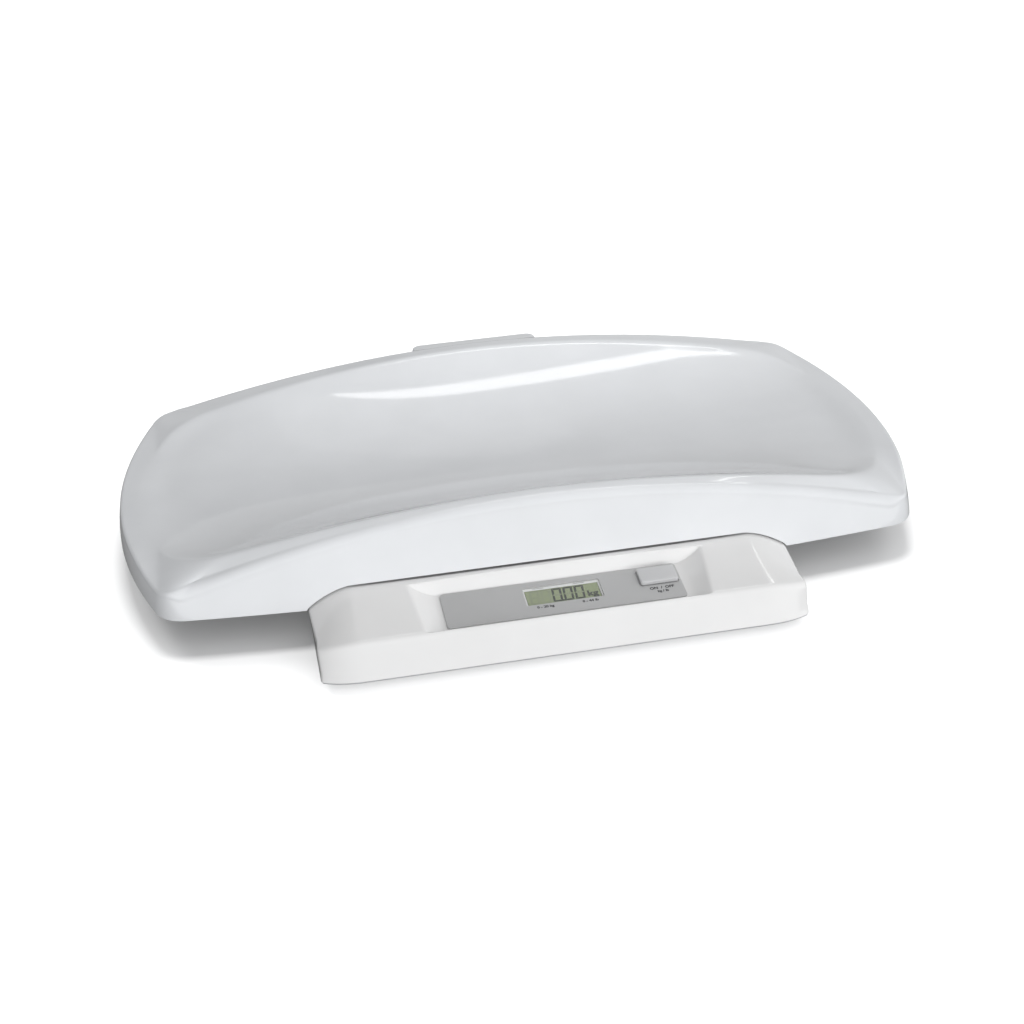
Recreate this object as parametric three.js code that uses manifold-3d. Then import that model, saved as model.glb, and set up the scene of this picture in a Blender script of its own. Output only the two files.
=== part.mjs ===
// Digital baby weighing scale: a moulded tray that lifts off a base with a display console.
// Millimetres, +Z up, +X to the right of someone reading the display, +Y away from them.
import * as THREE from 'three';
import { mergeVertices } from 'three/addons/utils/BufferGeometryUtils.js';
import Module from 'manifold-3d';

const wasm = await Module();
wasm.setup();

// General fits and counts
const seatGap = 0.3;
const slidingGap = 0.3;
const weldDistance = 1e-4;
const cutOverrun = 40;
const roundSegments = 20;
const smallSegments = 12;

// Tray: outline, rim and skirt
const trayCornerX = 250.9;
const trayEndBulge = 29.1;
const trayCornerY = 140.25;
const traySideDrawIn = 4.5;
const trayCornerReach = 14;
const rimEndRise = 4.2;
const rimEndSag = 2.4;
const rimArchRise = 33;
const rimArchPower = 1.95;
const rimEdgeRound = 3;
const skirtBelowDeck = 10.9;
const skirtFlare = 1.84;
const skirtSideBulge = 15.3;
const skirtBelly = 0.8;
const trayWall = 3;

// Tray: lip and trough
const lipEndWidth = 13.5;
const lipSideWidth = 25;
const wellSideBulge = 11.5;
const wellEndBulge = 27.6;
const wellCornerReach = 34;
const troughOverDeck = 1.6;
const troughPower = 2.2;

// Base: plan and heights
const baseHalfWidth = 159;
const consoleReach = 68.75;
const baseFrontBow = 2;
const baseRearInset = 12.25;
const baseCornerRadius = 8;
const baseWall = 2.5;
const panBottomZ = 4;
const panThickness = 2.5;
const partingGap = 0.5;
const panRimHeight = 4.5;
const panRimGap = 1.2;
const panRimWall = 2.2;
const deckZ = 38.9;
const deckEdgeRound = 4;
const rearDraft = 1;

// Console: front crest, top and shoulders
const crestInset = 8;
const crestBelowTop = 13.5;
const crestRound = 4;
const crestShoulderDrop = 4.5;
const seamFromFront = 57;
const seamLedge = 6;
const seamStep = 6;
const consoleOverDeck = 4.6;
const shoulderWidth = 29;
const shoulderDrop = 13.5;
const shoulderPower = 1.35;
const sideEdgeRound = 6;
const seamGap = 1.2;

// Console panel: a tilted pocket floor that carries the printed label
const panelTiltDegrees = 7.5;
const panelX = 2;
const panelFromFront = 31.5;
const panelBelowCrest = 0.45;
const labelWidth = 157;
const labelDepth = 35.2;
const labelThickness = 1;
const labelCornerRadius = 4;
const pocketMargin = 0.8;
const pocketFloorWall = 2;
const pocketCornerRadius = 5;
const pocketLevels = [0, 2.4, 8.7, 14];
const pocketSideFlares = [0, 5.5, 17.5, 24];
const pocketRearFlares = [0, 1, 5, 8];
const pocketFrontFlares = [0, 1.6, 8, 13];

// Display
const windowX = 0.4;
const windowY = 3.2;
const windowWidth = 50.4;
const windowDepth = 18;
const windowLedge = 0.8;
const lcdGlassMargin = 1.4;
const lcdThickness = 2.6;
const lcdFrameWall = 3;
const lcdFrameLip = 0.8;
const zebraWidth = 2.2;
const zebraHeight = 3;
const boardShorterBy = 7;
const boardDepth = 29;
const boardThickness = 1.6;

// Key and its switch
const keyFromLabelEnd = 14.5;
const keyY = 5.8;
const keyWidth = 25.2;
const keyDepth = 15.2;
const keyHeight = 3.1;
const keyCornerRadius = 1.6;
const keyEdgeRound = 0.5;
const keyTravel = 0.8;
const keyFloorGap = 0.2;
const keySideGap = 0.5;
const keyHubMargin = 2.6;
const keyHookReach = 1.6;
const keyHookHeight = 1.1;
const keyStemRadius = 2.4;
const switchSize = 7.2;
const switchHeight = 4;
const plungerRadius = 1.75;
const plungerProud = 1.4;
const plungerSunk = 1.6;
const connectorWidth = 42;
const connectorDepth = 6;
const connectorHeight = 5.5;

// Board posts and screws
const boardPostInset = 6;
const boardPostY = 9;
const boardPostRadius = 3;
const boardScrewShank = 1.1;
const boardScrewHead = 2.4;
const boardScrewHeadHeight = 1.6;
const boardScrewReach = 6;

// Pan screws and posts
const panScrewFromSide = 16;
const panScrewFromFront = 20;
const panScrewFromRear = 10.5;
const postRadius = 4.5;
const bossRadius = 6;
const bossHeight = 3.5;
const screwShankRadius = 1.5;
const screwHeadRadius = 3.1;
const screwHeadHeight = 2.2;
const screwReach = 12;
const screwRecess = 0.8;
const screwSlotLength = 3.6;
const screwSlotWidth = 0.9;
const screwSlotDepth = 1;

// Feet and load cells
const footFromSide = 34;
const footFromFront = 44;
const footFromRear = 33;
const padRadius = 13;
const padInCup = 2.4;
const padEdge = 0.8;
const cupRadius = 15.5;
const cupBelowPan = 2;
const cupOverPan = 3.1;
const cupHoleGap = 1.5;
const cellSize = 32;
const cellThickness = 2.4;
const cellSlotWidth = 2;
const cellFrameWidth = 5;
const cellTongueWidth = 10;
const cellRibWidth = 3.5;

// Tray seats: pegs on the base, sockets under the tray, rubber rings between them
const pegFromSide = 39;
const pegFromRear = 38;
const pegRadius = 6;
const pegHeight = 8;
const pegChamfer = 1.2;
const pegPlay = 0.4;
const socketWall = 3;
const ringWidth = 4.6;
const ringHeight = 3;
const ribWidth = 2.2;
const longRibFromPeg = 28;
const longRibFromCorner = 24.9;
const crossRibsFromPeg = [-58, 48];
const crossRibPastPeg = 10;

// Battery compartment
const cellsInHolder = 4;
const batteryRadius = 7.25;
const batteryLength = 50.5;
const batteryNubRadius = 2.75;
const batteryNubLength = 1;
const batteryPitch = 15.3;
const holderWall = 1.5;
const cellSideRoom = 1;
const holderFlangeWidth = 6;
const holderBackGap = 4.4;
const contactThickness = 0.4;
const contactHeight = 11;
const springRadius = 3.6;
const springWire = 0.7;
const springLength = 6;
const springTurns = 3;
const stepsPerCurl = 8;
const springSides = 5;
const upstandWidth = 3;
const doorFlangeReach = 3.4;
const doorFlangeThickness = 1.5;
const doorOverlap = 2.4;
const doorGrooves = 5;
const doorGrooveWidth = 1.6;
const doorGroovePitch = 3.4;
const doorGrooveDepth = 0.7;
const doorGrooveLength = 30;

// Rear grip
const gripWidth = 98;
const gripReach = 9.5;
const gripThickness = 4.5;
const gripBelowRim = 1.6;
const gripCornerRadius = 7;

// Leads inside the base
const leadRadius = 1;
const leadSides = 8;
const leadSteps = 18;
const leadPitch = 8;

// Finishes
const finishes = {
  glossWhite: { color: 0xeff1f4, roughness: 0.18, metalness: 0 },
  panWhite: { color: 0xdfe1e4, roughness: 0.5, metalness: 0 },
  labelSilver: { color: 0xb4b7bb, roughness: 0.4, metalness: 0.3 },
  keySilver: { color: 0xc3c6ca, roughness: 0.32, metalness: 0.4 },
  clearAcrylic: { color: 0xdde4e0, roughness: 0.05, metalness: 0 },
  lcdGreen: { color: 0x8f9c72, roughness: 0.3, metalness: 0 },
  frameWhite: { color: 0xf4f4f2, roughness: 0.45, metalness: 0 },
  rubberDark: { color: 0x2b2c2e, roughness: 0.85, metalness: 0 },
  rubberGrey: { color: 0x8d9094, roughness: 0.8, metalness: 0 },
  boardGreen: { color: 0x1f6b3a, roughness: 0.5, metalness: 0 },
  blackPlastic: { color: 0x1d1e20, roughness: 0.55, metalness: 0 },
  steel: { color: 0xb9bcc0, roughness: 0.35, metalness: 1 },
  nickel: { color: 0xcfcabd, roughness: 0.3, metalness: 1 },
  cellJacket: { color: 0x3d4b66, roughness: 0.35, metalness: 0.2 },
  leadGrey: { color: 0x55585d, roughness: 0.6, metalness: 0 },
};

// Heights and places that follow from the sizes above
const troughFloorZ = deckZ + troughOverDeck + trayWall;
const rimEndZ = troughFloorZ + rimEndRise;
const skirtBottomZ = deckZ - skirtBelowDeck;
const consoleTopZ = deckZ + consoleOverDeck;
const crestZ = consoleTopZ - crestBelowTop;
const baseFrontY = -(trayCornerY + consoleReach);
const baseRearY = trayCornerY - baseRearInset;
const seamY = baseFrontY + seamFromFront;
const panelY = baseFrontY + panelFromFront;
const panelZ = crestZ - panelBelowCrest;
const boardWidth = labelWidth - boardShorterBy;
const boardPostX = boardWidth / 2 - boardPostInset;
const keyX = labelWidth / 2 - keyFromLabelEnd;
const panScrewX = baseHalfWidth - panScrewFromSide;
const panScrewFrontY = baseFrontY + panScrewFromFront;
const panScrewRearY = baseRearY - panScrewFromRear;
const panScrewMiddleY = (panScrewFrontY + panScrewRearY) / 2;
const footX = baseHalfWidth - footFromSide;
const footFrontY = baseFrontY + footFromFront;
const footRearY = baseRearY - footFromRear;
const cupBottomZ = panBottomZ - cupBelowPan;
const cupTopZ = panBottomZ + panThickness + cupOverPan;
const padHeight = cupBottomZ + padInCup;
const pegX = baseHalfWidth - pegFromSide;
const pegY = baseRearY - pegFromRear;
const longRibY = pegY - longRibFromPeg;
const longRibHalfLength = trayCornerX - longRibFromCorner;
const crossRibHalfLength = pegY + crossRibPastPeg;
const panTopZ = panBottomZ + panThickness;
const coverBottomZ = panTopZ + partingGap;
const pocketFloor = -(labelThickness + seatGap);
const pocketUnderside = pocketFloor - pocketFloorWall;
const panelTilt = THREE.MathUtils.degToRad(panelTiltDegrees);
const panelFrame = new THREE.Matrix4().makeRotationX(panelTilt).setPosition(panelX, panelY, panelZ);
const socketBottomZ = deckZ + ringHeight + 2 * seatGap;
const lcdFrameTop = pocketUnderside - seatGap;
const lcdTop = lcdFrameTop - lcdFrameLip - seatGap;
const zebraTop = lcdTop - lcdThickness - seatGap;
const boardTop = zebraTop - zebraHeight - seatGap;
const boardUnderside = boardTop - boardThickness;
const keyBottom = pocketFloor + keyTravel + keyFloorGap;
const keyHookTop = pocketUnderside - seatGap;
const switchTop = boardTop + seatGap + switchHeight;
const plungerTop = switchTop + plungerProud;
const trayBackY = trayCornerY + skirtFlare + skirtSideBulge;
const rowShiftY = -(baseFrontY - baseFrontBow + trayBackY) / 2;

// Solids: the boolean library only joins and cuts what the geometry classes make
function solidOf(geometry) {
  const bare = new THREE.BufferGeometry();
  bare.setAttribute('position', geometry.attributes.position);
  if (geometry.index) bare.setIndex(geometry.index);
  const merged = mergeVertices(bare, weldDistance);
  return new wasm.Manifold(new wasm.Mesh({
    numProp: 3,
    vertProperties: merged.attributes.position.array,
    triVerts: new Uint32Array(merged.index.array),
  }));
}

function geometryOf(solid) {
  const mesh = solid.getMesh();
  const geometry = new THREE.BufferGeometry();
  geometry.setAttribute('position', new THREE.BufferAttribute(mesh.vertProperties, 3));
  geometry.setIndex(new THREE.BufferAttribute(mesh.triVerts, 1));
  return geometry;
}

function piece(name, shape, finish) {
  const geometry = shape.isBufferGeometry ? shape : geometryOf(shape);
  geometry.computeVertexNormals();
  const mesh = new THREE.Mesh(geometry, new THREE.MeshStandardMaterial(finish));
  mesh.name = name;
  return mesh;
}

function blockGeometry(x0, x1, y0, y1, z0, z1) {
  const block = new THREE.BoxGeometry(x1 - x0, y1 - y0, z1 - z0);
  return block.translate((x0 + x1) / 2, (y0 + y1) / 2, (z0 + z1) / 2);
}

function block(x0, x1, y0, y1, z0, z1) {
  return solidOf(blockGeometry(x0, x1, y0, y1, z0, z1));
}

function round(radius, z0, z1, x, y, segments = roundSegments) {
  const bar = new THREE.CylinderGeometry(radius, radius, z1 - z0, segments);
  return solidOf(bar.rotateX(Math.PI / 2).translate(x, y, (z0 + z1) / 2));
}

// A lathe profile is a list of [radius, height] pairs that starts and ends on the axis
function turned(profile, segments = roundSegments) {
  const points = profile.map(([radius, height]) => new THREE.Vector2(radius, height));
  return new THREE.LatheGeometry(points, segments).rotateX(Math.PI / 2);
}

function roundedRectangle(width, depth, radius, x = 0, y = 0) {
  const outline = new THREE.Shape();
  const quarterTurn = Math.PI / 2;
  [[1, -1], [1, 1], [-1, 1], [-1, -1]].forEach(([sideX, sideY], i) => {
    const centreX = x + sideX * (width / 2 - radius);
    const centreY = y + sideY * (depth / 2 - radius);
    outline.absarc(centreX, centreY, radius, (i - 1) * quarterTurn, i * quarterTurn, false);
  });
  return outline;
}

function plate(outline, z0, z1, curveSegments = 3) {
  const options = { depth: z1 - z0, bevelEnabled: false, curveSegments };
  return new THREE.ExtrudeGeometry(outline, options).translate(0, 0, z0);
}

// A closed skin through rings with the same number of points, capped flat at both ends
function loft(rings) {
  const count = rings[0].length;
  const positions = [];
  const index = [];
  for (const ring of rings) {
    for (const point of ring) positions.push(point.x, point.y, point.z);
  }
  for (let row = 0; row < rings.length - 1; row += 1) {
    for (let column = 0; column < count; column += 1) {
      const next = (column + 1) % count;
      const a = row * count + column;
      const b = row * count + next;
      index.push(a, b, b + count, a, b + count, a + count);
    }
  }
  capRing(rings[0], 0, index, true);
  capRing(rings[rings.length - 1], (rings.length - 1) * count, index, false);
  const geometry = new THREE.BufferGeometry();
  geometry.setAttribute('position', new THREE.Float32BufferAttribute(positions, 3));
  geometry.setIndex(index);
  return facingOut(geometry);
}

// The cap turns the same way as its ring, or the other way where it is the first of a loft
function capRing(ring, offset, index, reversed) {
  const across = ring.every((p) => p.x === ring[0].x);
  const flat = ring.map((p) => (across ? new THREE.Vector2(p.y, p.z) : new THREE.Vector2(p.x, p.y)));
  const wanted = Math.sign(THREE.ShapeUtils.area(flat)) * (reversed ? -1 : 1);
  for (const [a, b, c] of THREE.ShapeUtils.triangulateShape(flat, [])) {
    const turn = Math.sign(THREE.ShapeUtils.area([flat[a], flat[b], flat[c]]));
    if (turn === wanted) index.push(offset + a, offset + b, offset + c);
    else index.push(offset + a, offset + c, offset + b);
  }
}

function facingOut(geometry) {
  const position = geometry.attributes.position;
  const index = geometry.index.array;
  const [a, b, c] = [new THREE.Vector3(), new THREE.Vector3(), new THREE.Vector3()];
  let volume = 0;
  for (let i = 0; i < index.length; i += 3) {
    a.fromBufferAttribute(position, index[i]);
    b.fromBufferAttribute(position, index[i + 1]);
    c.fromBufferAttribute(position, index[i + 2]);
    volume += a.dot(b.cross(c));
  }
  if (volume > 0) return geometry;
  for (let i = 0; i < index.length; i += 3) [index[i], index[i + 1]] = [index[i + 1], index[i]];
  return geometry;
}

// Tray surfaces
function rimHeight(x) {
  const share = Math.min(1, Math.abs(x) / trayCornerX);
  return rimEndZ + rimArchRise * (1 - share ** rimArchPower);
}

function wellHalfDepth(x) {
  const share = Math.min(1, Math.abs(x) / (trayCornerX - lipEndWidth));
  return trayCornerY - lipSideWidth + wellSideBulge * (1 - share ** 2) - traySideDrawIn * (1 - share ** 2);
}

function troughHeight(x, y) {
  const rise = rimHeight(x) - troughFloorZ;
  const share = Math.min(1, Math.abs(y) / wellHalfDepth(x));
  return troughFloorZ + rise * share ** troughPower;
}

const arcMidShare = 1 - Math.SQRT1_2;
const shoulderShares = [0.35, 0.7];
const cornerTurnShares = [0, 1 / 3, 2 / 3, 1];
const sideShares = [-1, -0.86, -0.7, -0.54, -0.38, -0.19, 0, 0.19, 0.38, 0.54, 0.7, 0.86, 1];
const endShares = [-1, -0.8, -0.55, -0.28, 0, 0.28, 0.55, 0.8, 1];
const cornerShares = [0.25, 0.5, 0.75];

// One loop round the tray: four bowed sides whose corners are blended over a short reach
function trayLoop({ cornerX, cornerY, endBulge, sideBulge, reach, sideZ, endZ }) {
  const sidePoint = (share, sign) => {
    const x = share * (cornerX - reach) * -sign;
    const bow = sideBulge * (1 - (x / cornerX) ** 2);
    return new THREE.Vector3(x, sign * (cornerY + bow), sideZ(x));
  };
  const endPoint = (share, sign) => {
    const y = share * (cornerY - reach) * sign;
    const bow = endBulge * (1 - (y / cornerY) ** 2);
    return new THREE.Vector3(sign * (cornerX + bow), y, endZ(y / cornerY));
  };
  const loop = [];
  for (const [kind, sign] of [['side', -1], ['end', 1], ['side', 1], ['end', -1]]) {
    const shares = kind === 'side' ? sideShares : endShares;
    const points = shares.map((share) => (kind === 'side' ? sidePoint(share, sign) : endPoint(share, sign)));
    loop.push(...points);
    const nextStart = kind === 'side' ? endPoint(-1, sign === -1 ? 1 : -1) : sidePoint(-1, sign);
    const last = points[points.length - 1];
    const corner = new THREE.Vector3(Math.sign(last.x) * cornerX, Math.sign(last.y) * cornerY, 0);
    corner.z = (last.z + nextStart.z) / 2;
    const blend = new THREE.QuadraticBezierCurve3(last, corner, nextStart);
    for (const share of cornerShares) loop.push(blend.getPoint(share));
  }
  return loop;
}

function outlineLoop(inset, heightBelowRim, flareShare) {
  const flare = skirtFlare * flareShare - inset;
  return trayLoop({
    cornerX: trayCornerX + flare,
    cornerY: trayCornerY + flare,
    endBulge: trayEndBulge,
    sideBulge: (skirtSideBulge + traySideDrawIn) * flareShare - traySideDrawIn,
    reach: trayCornerReach,
    sideZ: (x) => rimHeight(x) - heightBelowRim,
    endZ: (share) => rimEndZ - rimEndSag * (1 - share ** 2) - heightBelowRim,
  });
}

function skirtLoop(inset, downShare) {
  const upper = outlineLoop(inset, rimEdgeRound, 0);
  const lower = outlineLoop(inset, 0, 1);
  const belly = skirtBelly * 4 * downShare * (1 - downShare);
  return upper.map((top, i) => {
    const bottom = lower[i].clone().setZ(skirtBottomZ);
    const point = top.clone().lerp(bottom, downShare);
    const outward = new THREE.Vector2(point.x / trayCornerX, point.y / trayCornerY).normalize();
    point.x += belly * outward.x;
    point.y += belly * outward.y;
    return point;
  });
}

function wellLoop(scale, drop) {
  const flat = trayLoop({
    cornerX: trayCornerX - lipEndWidth,
    cornerY: trayCornerY - lipSideWidth,
    endBulge: wellEndBulge,
    sideBulge: wellSideBulge - traySideDrawIn,
    reach: wellCornerReach,
    sideZ: rimHeight,
    endZ: (share) => rimEndZ - rimEndSag * (1 - share ** 2),
  });
  return flat.map((p) => {
    const [x, y] = [p.x * scale, p.y * scale];
    return new THREE.Vector3(x, y, (scale === 1 ? p.z : troughHeight(x, y)) - drop);
  });
}

const skirtShares = [1, 0.5, 0];
const wellShares = [0.985, 0.93, 0.84, 0.73, 0.6, 0.45, 0.28, 0.1];

// The tray as a solid block under its top surface, set in from that surface by a depth
function traySolid(depth, bottomZ) {
  const rings = [];
  if (bottomZ < skirtBottomZ) rings.push(skirtLoop(depth, 1).map((p) => p.clone().setZ(bottomZ)));
  for (const share of skirtShares) {
    const drop = share === 1 ? 0 : depth;
    rings.push(skirtLoop(depth, share).map((p) => p.clone().setZ(p.z - drop)));
  }
  const edgeInset = rimEdgeRound * arcMidShare + depth;
  rings.push(outlineLoop(edgeInset, edgeInset, 0));
  rings.push(outlineLoop(rimEdgeRound + depth, depth, 0));
  rings.push(wellLoop(1, depth));
  for (const scale of wellShares) rings.push(wellLoop(scale, depth));
  return solidOf(loft(rings));
}

// Base surfaces
function baseStations(grow) {
  const halfWidth = baseHalfWidth + grow;
  const radius = baseCornerRadius + grow;
  const shoulderX = baseHalfWidth - shoulderWidth;
  const flatStop = halfWidth - radius;
  const half = [0, shoulderX / 2, shoulderX];
  for (const share of shoulderShares) half.push(shoulderX + share * (flatStop - shoulderX));
  for (const share of cornerTurnShares) half.push(flatStop + radius * Math.sin((share * Math.PI) / 2));
  return [...half.slice(1).reverse().map((x) => -x), ...half];
}

function cornerSetback(x, halfWidth, radius) {
  const run = Math.min(radius, Math.max(0, Math.abs(x) - (halfWidth - radius)));
  return radius - Math.sqrt(radius ** 2 - run ** 2);
}

function baseFrontAt(x, grow) {
  const bow = baseFrontBow * (1 - (x / baseHalfWidth) ** 2);
  return baseFrontY - bow - grow + cornerSetback(x, baseHalfWidth + grow, baseCornerRadius + grow);
}

function baseRearAt(x, grow) {
  return baseRearY + grow - cornerSetback(x, baseHalfWidth + grow, baseCornerRadius + grow);
}

function shoulderFall(x) {
  const share = (Math.abs(x) - (baseHalfWidth - shoulderWidth)) / shoulderWidth;
  return Math.min(1, Math.max(0, share)) ** shoulderPower;
}

function baseSection(x, grow, bottomZ) {
  const halfWidth = baseHalfWidth + grow;
  const edgeFall = cornerSetback(x, halfWidth, sideEdgeRound + grow);
  const fall = shoulderFall(x);
  const front = baseFrontAt(x, grow);
  const rear = baseRearAt(x, grow);
  const crest = crestZ - crestShoulderDrop * fall + grow - edgeFall;
  const top = consoleTopZ - shoulderDrop * fall + grow - edgeFall;
  const deck = deckZ + grow - edgeFall;
  const crestY = front + crestInset;
  const skirt = [[front, coverBottomZ]];
  const tail = [[rear, coverBottomZ]];
  if (bottomZ < coverBottomZ) {
    skirt.unshift([front, bottomZ]);
    tail.push([rear, bottomZ]);
  }
  return [
    ...skirt,
    [crestY - crestRound, crest - crestRound],
    [crestY - crestRound * Math.SQRT1_2, crest - crestRound * arcMidShare],
    [crestY, crest],
    [seamY, top],
    [seamY + seamLedge + grow, top],
    [seamY + seamLedge + seamStep + grow, deck],
    [rear - deckEdgeRound - rearDraft, deck],
    [rear - deckEdgeRound * arcMidShare - rearDraft, deck - deckEdgeRound * arcMidShare],
    [rear - rearDraft, deck - deckEdgeRound],
    ...tail,
  ].map(([y, z]) => new THREE.Vector3(x, y, z));
}

function baseSolid(grow, bottomZ) {
  return solidOf(loft(baseStations(grow).map((x) => baseSection(x, grow, bottomZ))));
}

function basePlan(grow) {
  const stations = baseStations(grow);
  const front = stations.map((x) => new THREE.Vector2(x, baseFrontAt(x, grow)));
  const rear = stations.map((x) => new THREE.Vector2(x, baseRearAt(x, grow))).reverse();
  const outline = [...front, ...rear];
  return new THREE.Shape(outline.filter((p, i) => p.distanceTo(outline.at(i - 1)) > seatGap));
}

// The pocket in the console, as the block that is cut away, in the panel's own frame
function pocketBlock(grow, floor) {
  const rings = pocketLevels.map((level, i) => {
    const side = labelWidth / 2 + pocketMargin + pocketSideFlares[i] + grow;
    const rear = labelDepth / 2 + pocketMargin + pocketRearFlares[i] + grow;
    const front = labelDepth / 2 + pocketMargin + pocketFrontFlares[i] + grow;
    const radius = pocketCornerRadius + grow;
    const outline = roundedRectangle(side * 2, rear + front, radius, 0, (rear - front) / 2);
    return outline.getPoints(4).map((p) => new THREE.Vector3(p.x, p.y, floor + level));
  });
  return solidOf(loft(rings).applyMatrix4(panelFrame));
}

function panelBlock(x0, x1, y0, y1, z0, z1) {
  return solidOf(blockGeometry(x0, x1, y0, y1, z0, z1).applyMatrix4(panelFrame));
}

const footPlaces = [
  ['front_left', -footX, footFrontY],
  ['front_right', footX, footFrontY],
  ['rear_left', -footX, footRearY],
  ['rear_right', footX, footRearY],
];
const pegPlaces = [
  ['front_left', -pegX, -pegY],
  ['front_right', pegX, -pegY],
  ['rear_left', -pegX, pegY],
  ['rear_right', pegX, pegY],
];
const panScrewRows = [panScrewFrontY, panScrewMiddleY, panScrewRearY];
const panScrewPlaces = panScrewRows.flatMap((y) => [[-panScrewX, y], [panScrewX, y]]);
const lcdFrameEnd = windowX + windowWidth / 2 + lcdGlassMargin + lcdFrameWall;
const keyHookStart = keyX - keyWidth / 2 + keyHubMargin - keyHookReach;
const boardPostPlaces = [
  [-boardPostX, boardPostY],
  [-boardPostX, -boardPostY],
  [boardPostX, -boardPostY],
  [(lcdFrameEnd + keyHookStart) / 2, boardPostY],
];

// Battery compartment layout, from the cells outwards
const holderHalfWidth = (batteryPitch * (cellsInHolder - 1)) / 2 + batteryRadius + cellSideRoom + holderWall;
const doorHalfWidth = holderHalfWidth;
const doorThickness = panThickness + seatGap + doorFlangeThickness;
const doorTopZ = panBottomZ + doorThickness;
const holderBottomZ = doorTopZ + slidingGap;
const batteryAxisZ = holderBottomZ + batteryRadius + seatGap;
const stackLength = batteryLength + batteryNubLength + springLength + 3 * seatGap;
const holderInnerLength = stackLength + 2 * (contactThickness + seatGap);
const holderRearY = baseRearY - baseWall - holderBackGap;
const holderFrontY = holderRearY - holderInnerLength - 2 * holderWall;
const doorFrontY = holderFrontY;
const holderTopZ = batteryAxisZ + batteryRadius + seatGap + holderWall;

// Base cover: one moulding with the deck, the console, the pegs and the inner posts
function ribsOverLoadCells(fill) {
  const bottom = cupTopZ + cellThickness + 2 * seatGap;
  const reach = (cellSize - cellRibWidth) / 2;
  const ribs = footPlaces.flatMap(([, x, y]) => [-reach, reach].map((offset) => block(
    x + offset - cellRibWidth / 2,
    x + offset + cellRibWidth / 2,
    y - cellSize / 2,
    y + cellSize / 2,
    bottom,
    deckZ,
  )));
  return ribs.map((rib) => rib.intersect(fill));
}

function screwPosts(fill) {
  const bottom = panTopZ + bossHeight + seatGap;
  return panScrewPlaces.map(([x, y]) => {
    const post = round(postRadius, bottom, deckZ, x, y, smallSegments);
    const tip = bottom + screwReach;
    const hole = round(screwShankRadius + seatGap, bottom - cutOverrun, tip, x, y, smallSegments);
    return post.intersect(fill).subtract(hole);
  });
}

function panelBar(radius, z0, z1, x, y) {
  const bar = new THREE.CylinderGeometry(radius, radius, z1 - z0, smallSegments);
  bar.rotateX(Math.PI / 2).translate(x, y, (z0 + z1) / 2);
  return solidOf(bar.applyMatrix4(panelFrame));
}

function boardPosts() {
  return boardPostPlaces.map(([x, y]) => {
    const bottom = boardTop + seatGap;
    const tip = bottom + boardScrewReach;
    const post = panelBar(boardPostRadius, bottom, pocketUnderside + pocketFloorWall / 2, x, y);
    return post.subtract(panelBar(boardScrewShank + seatGap, bottom - cutOverrun, tip, x, y));
  });
}

function peg(x, y) {
  const top = deckZ + pegHeight;
  return solidOf(turned([
    [0, deckZ - baseWall / 2],
    [pegRadius, deckZ - baseWall / 2],
    [pegRadius, top - pegChamfer],
    [pegRadius - pegChamfer, top],
    [0, top],
  ]).translate(x, y, 0));
}

function keyHubBlock(grow, z0, z1) {
  const halfX = keyWidth / 2 - keyHubMargin + grow;
  const halfY = keyDepth / 2 - keyHubMargin + grow;
  return [keyX - halfX, keyX + halfX, keyY - halfY, keyY + halfY, z0, z1];
}

function makeTopCover() {
  const cavity = baseSolid(-baseWall, coverBottomZ - cutOverrun)
    .subtract(pocketBlock(pocketFloorWall, pocketUnderside));
  const fill = baseSolid(-baseWall / 2, coverBottomZ);
  let cover = baseSolid(0, coverBottomZ).subtract(cavity).subtract(pocketBlock(0, pocketFloor));
  for (const rib of ribsOverLoadCells(fill)) cover = cover.add(rib);
  for (const post of screwPosts(fill)) cover = cover.add(post);
  for (const post of boardPosts()) cover = cover.add(post);
  for (const [, x, y] of pegPlaces) cover = cover.add(peg(x, y));
  const windowHalfX = windowWidth / 2 - windowLedge;
  const windowHalfY = windowDepth / 2 - windowLedge;
  const below = pocketUnderside - seatGap;
  cover = cover.subtract(panelBlock(
    windowX - windowHalfX,
    windowX + windowHalfX,
    windowY - windowHalfY,
    windowY + windowHalfY,
    below,
    0,
  ));
  cover = cover.subtract(panelBlock(...keyHubBlock(keySideGap, below, 0)));
  const doorwayHalf = doorHalfWidth + doorFlangeReach + slidingGap;
  const doorwayFrontY = baseRearY - baseWall - holderBackGap / 2;
  return cover.subtract(block(
    -doorwayHalf,
    doorwayHalf,
    doorwayFrontY,
    baseRearY + cutOverrun,
    coverBottomZ - cutOverrun,
    holderBottomZ,
  ));
}

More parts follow.
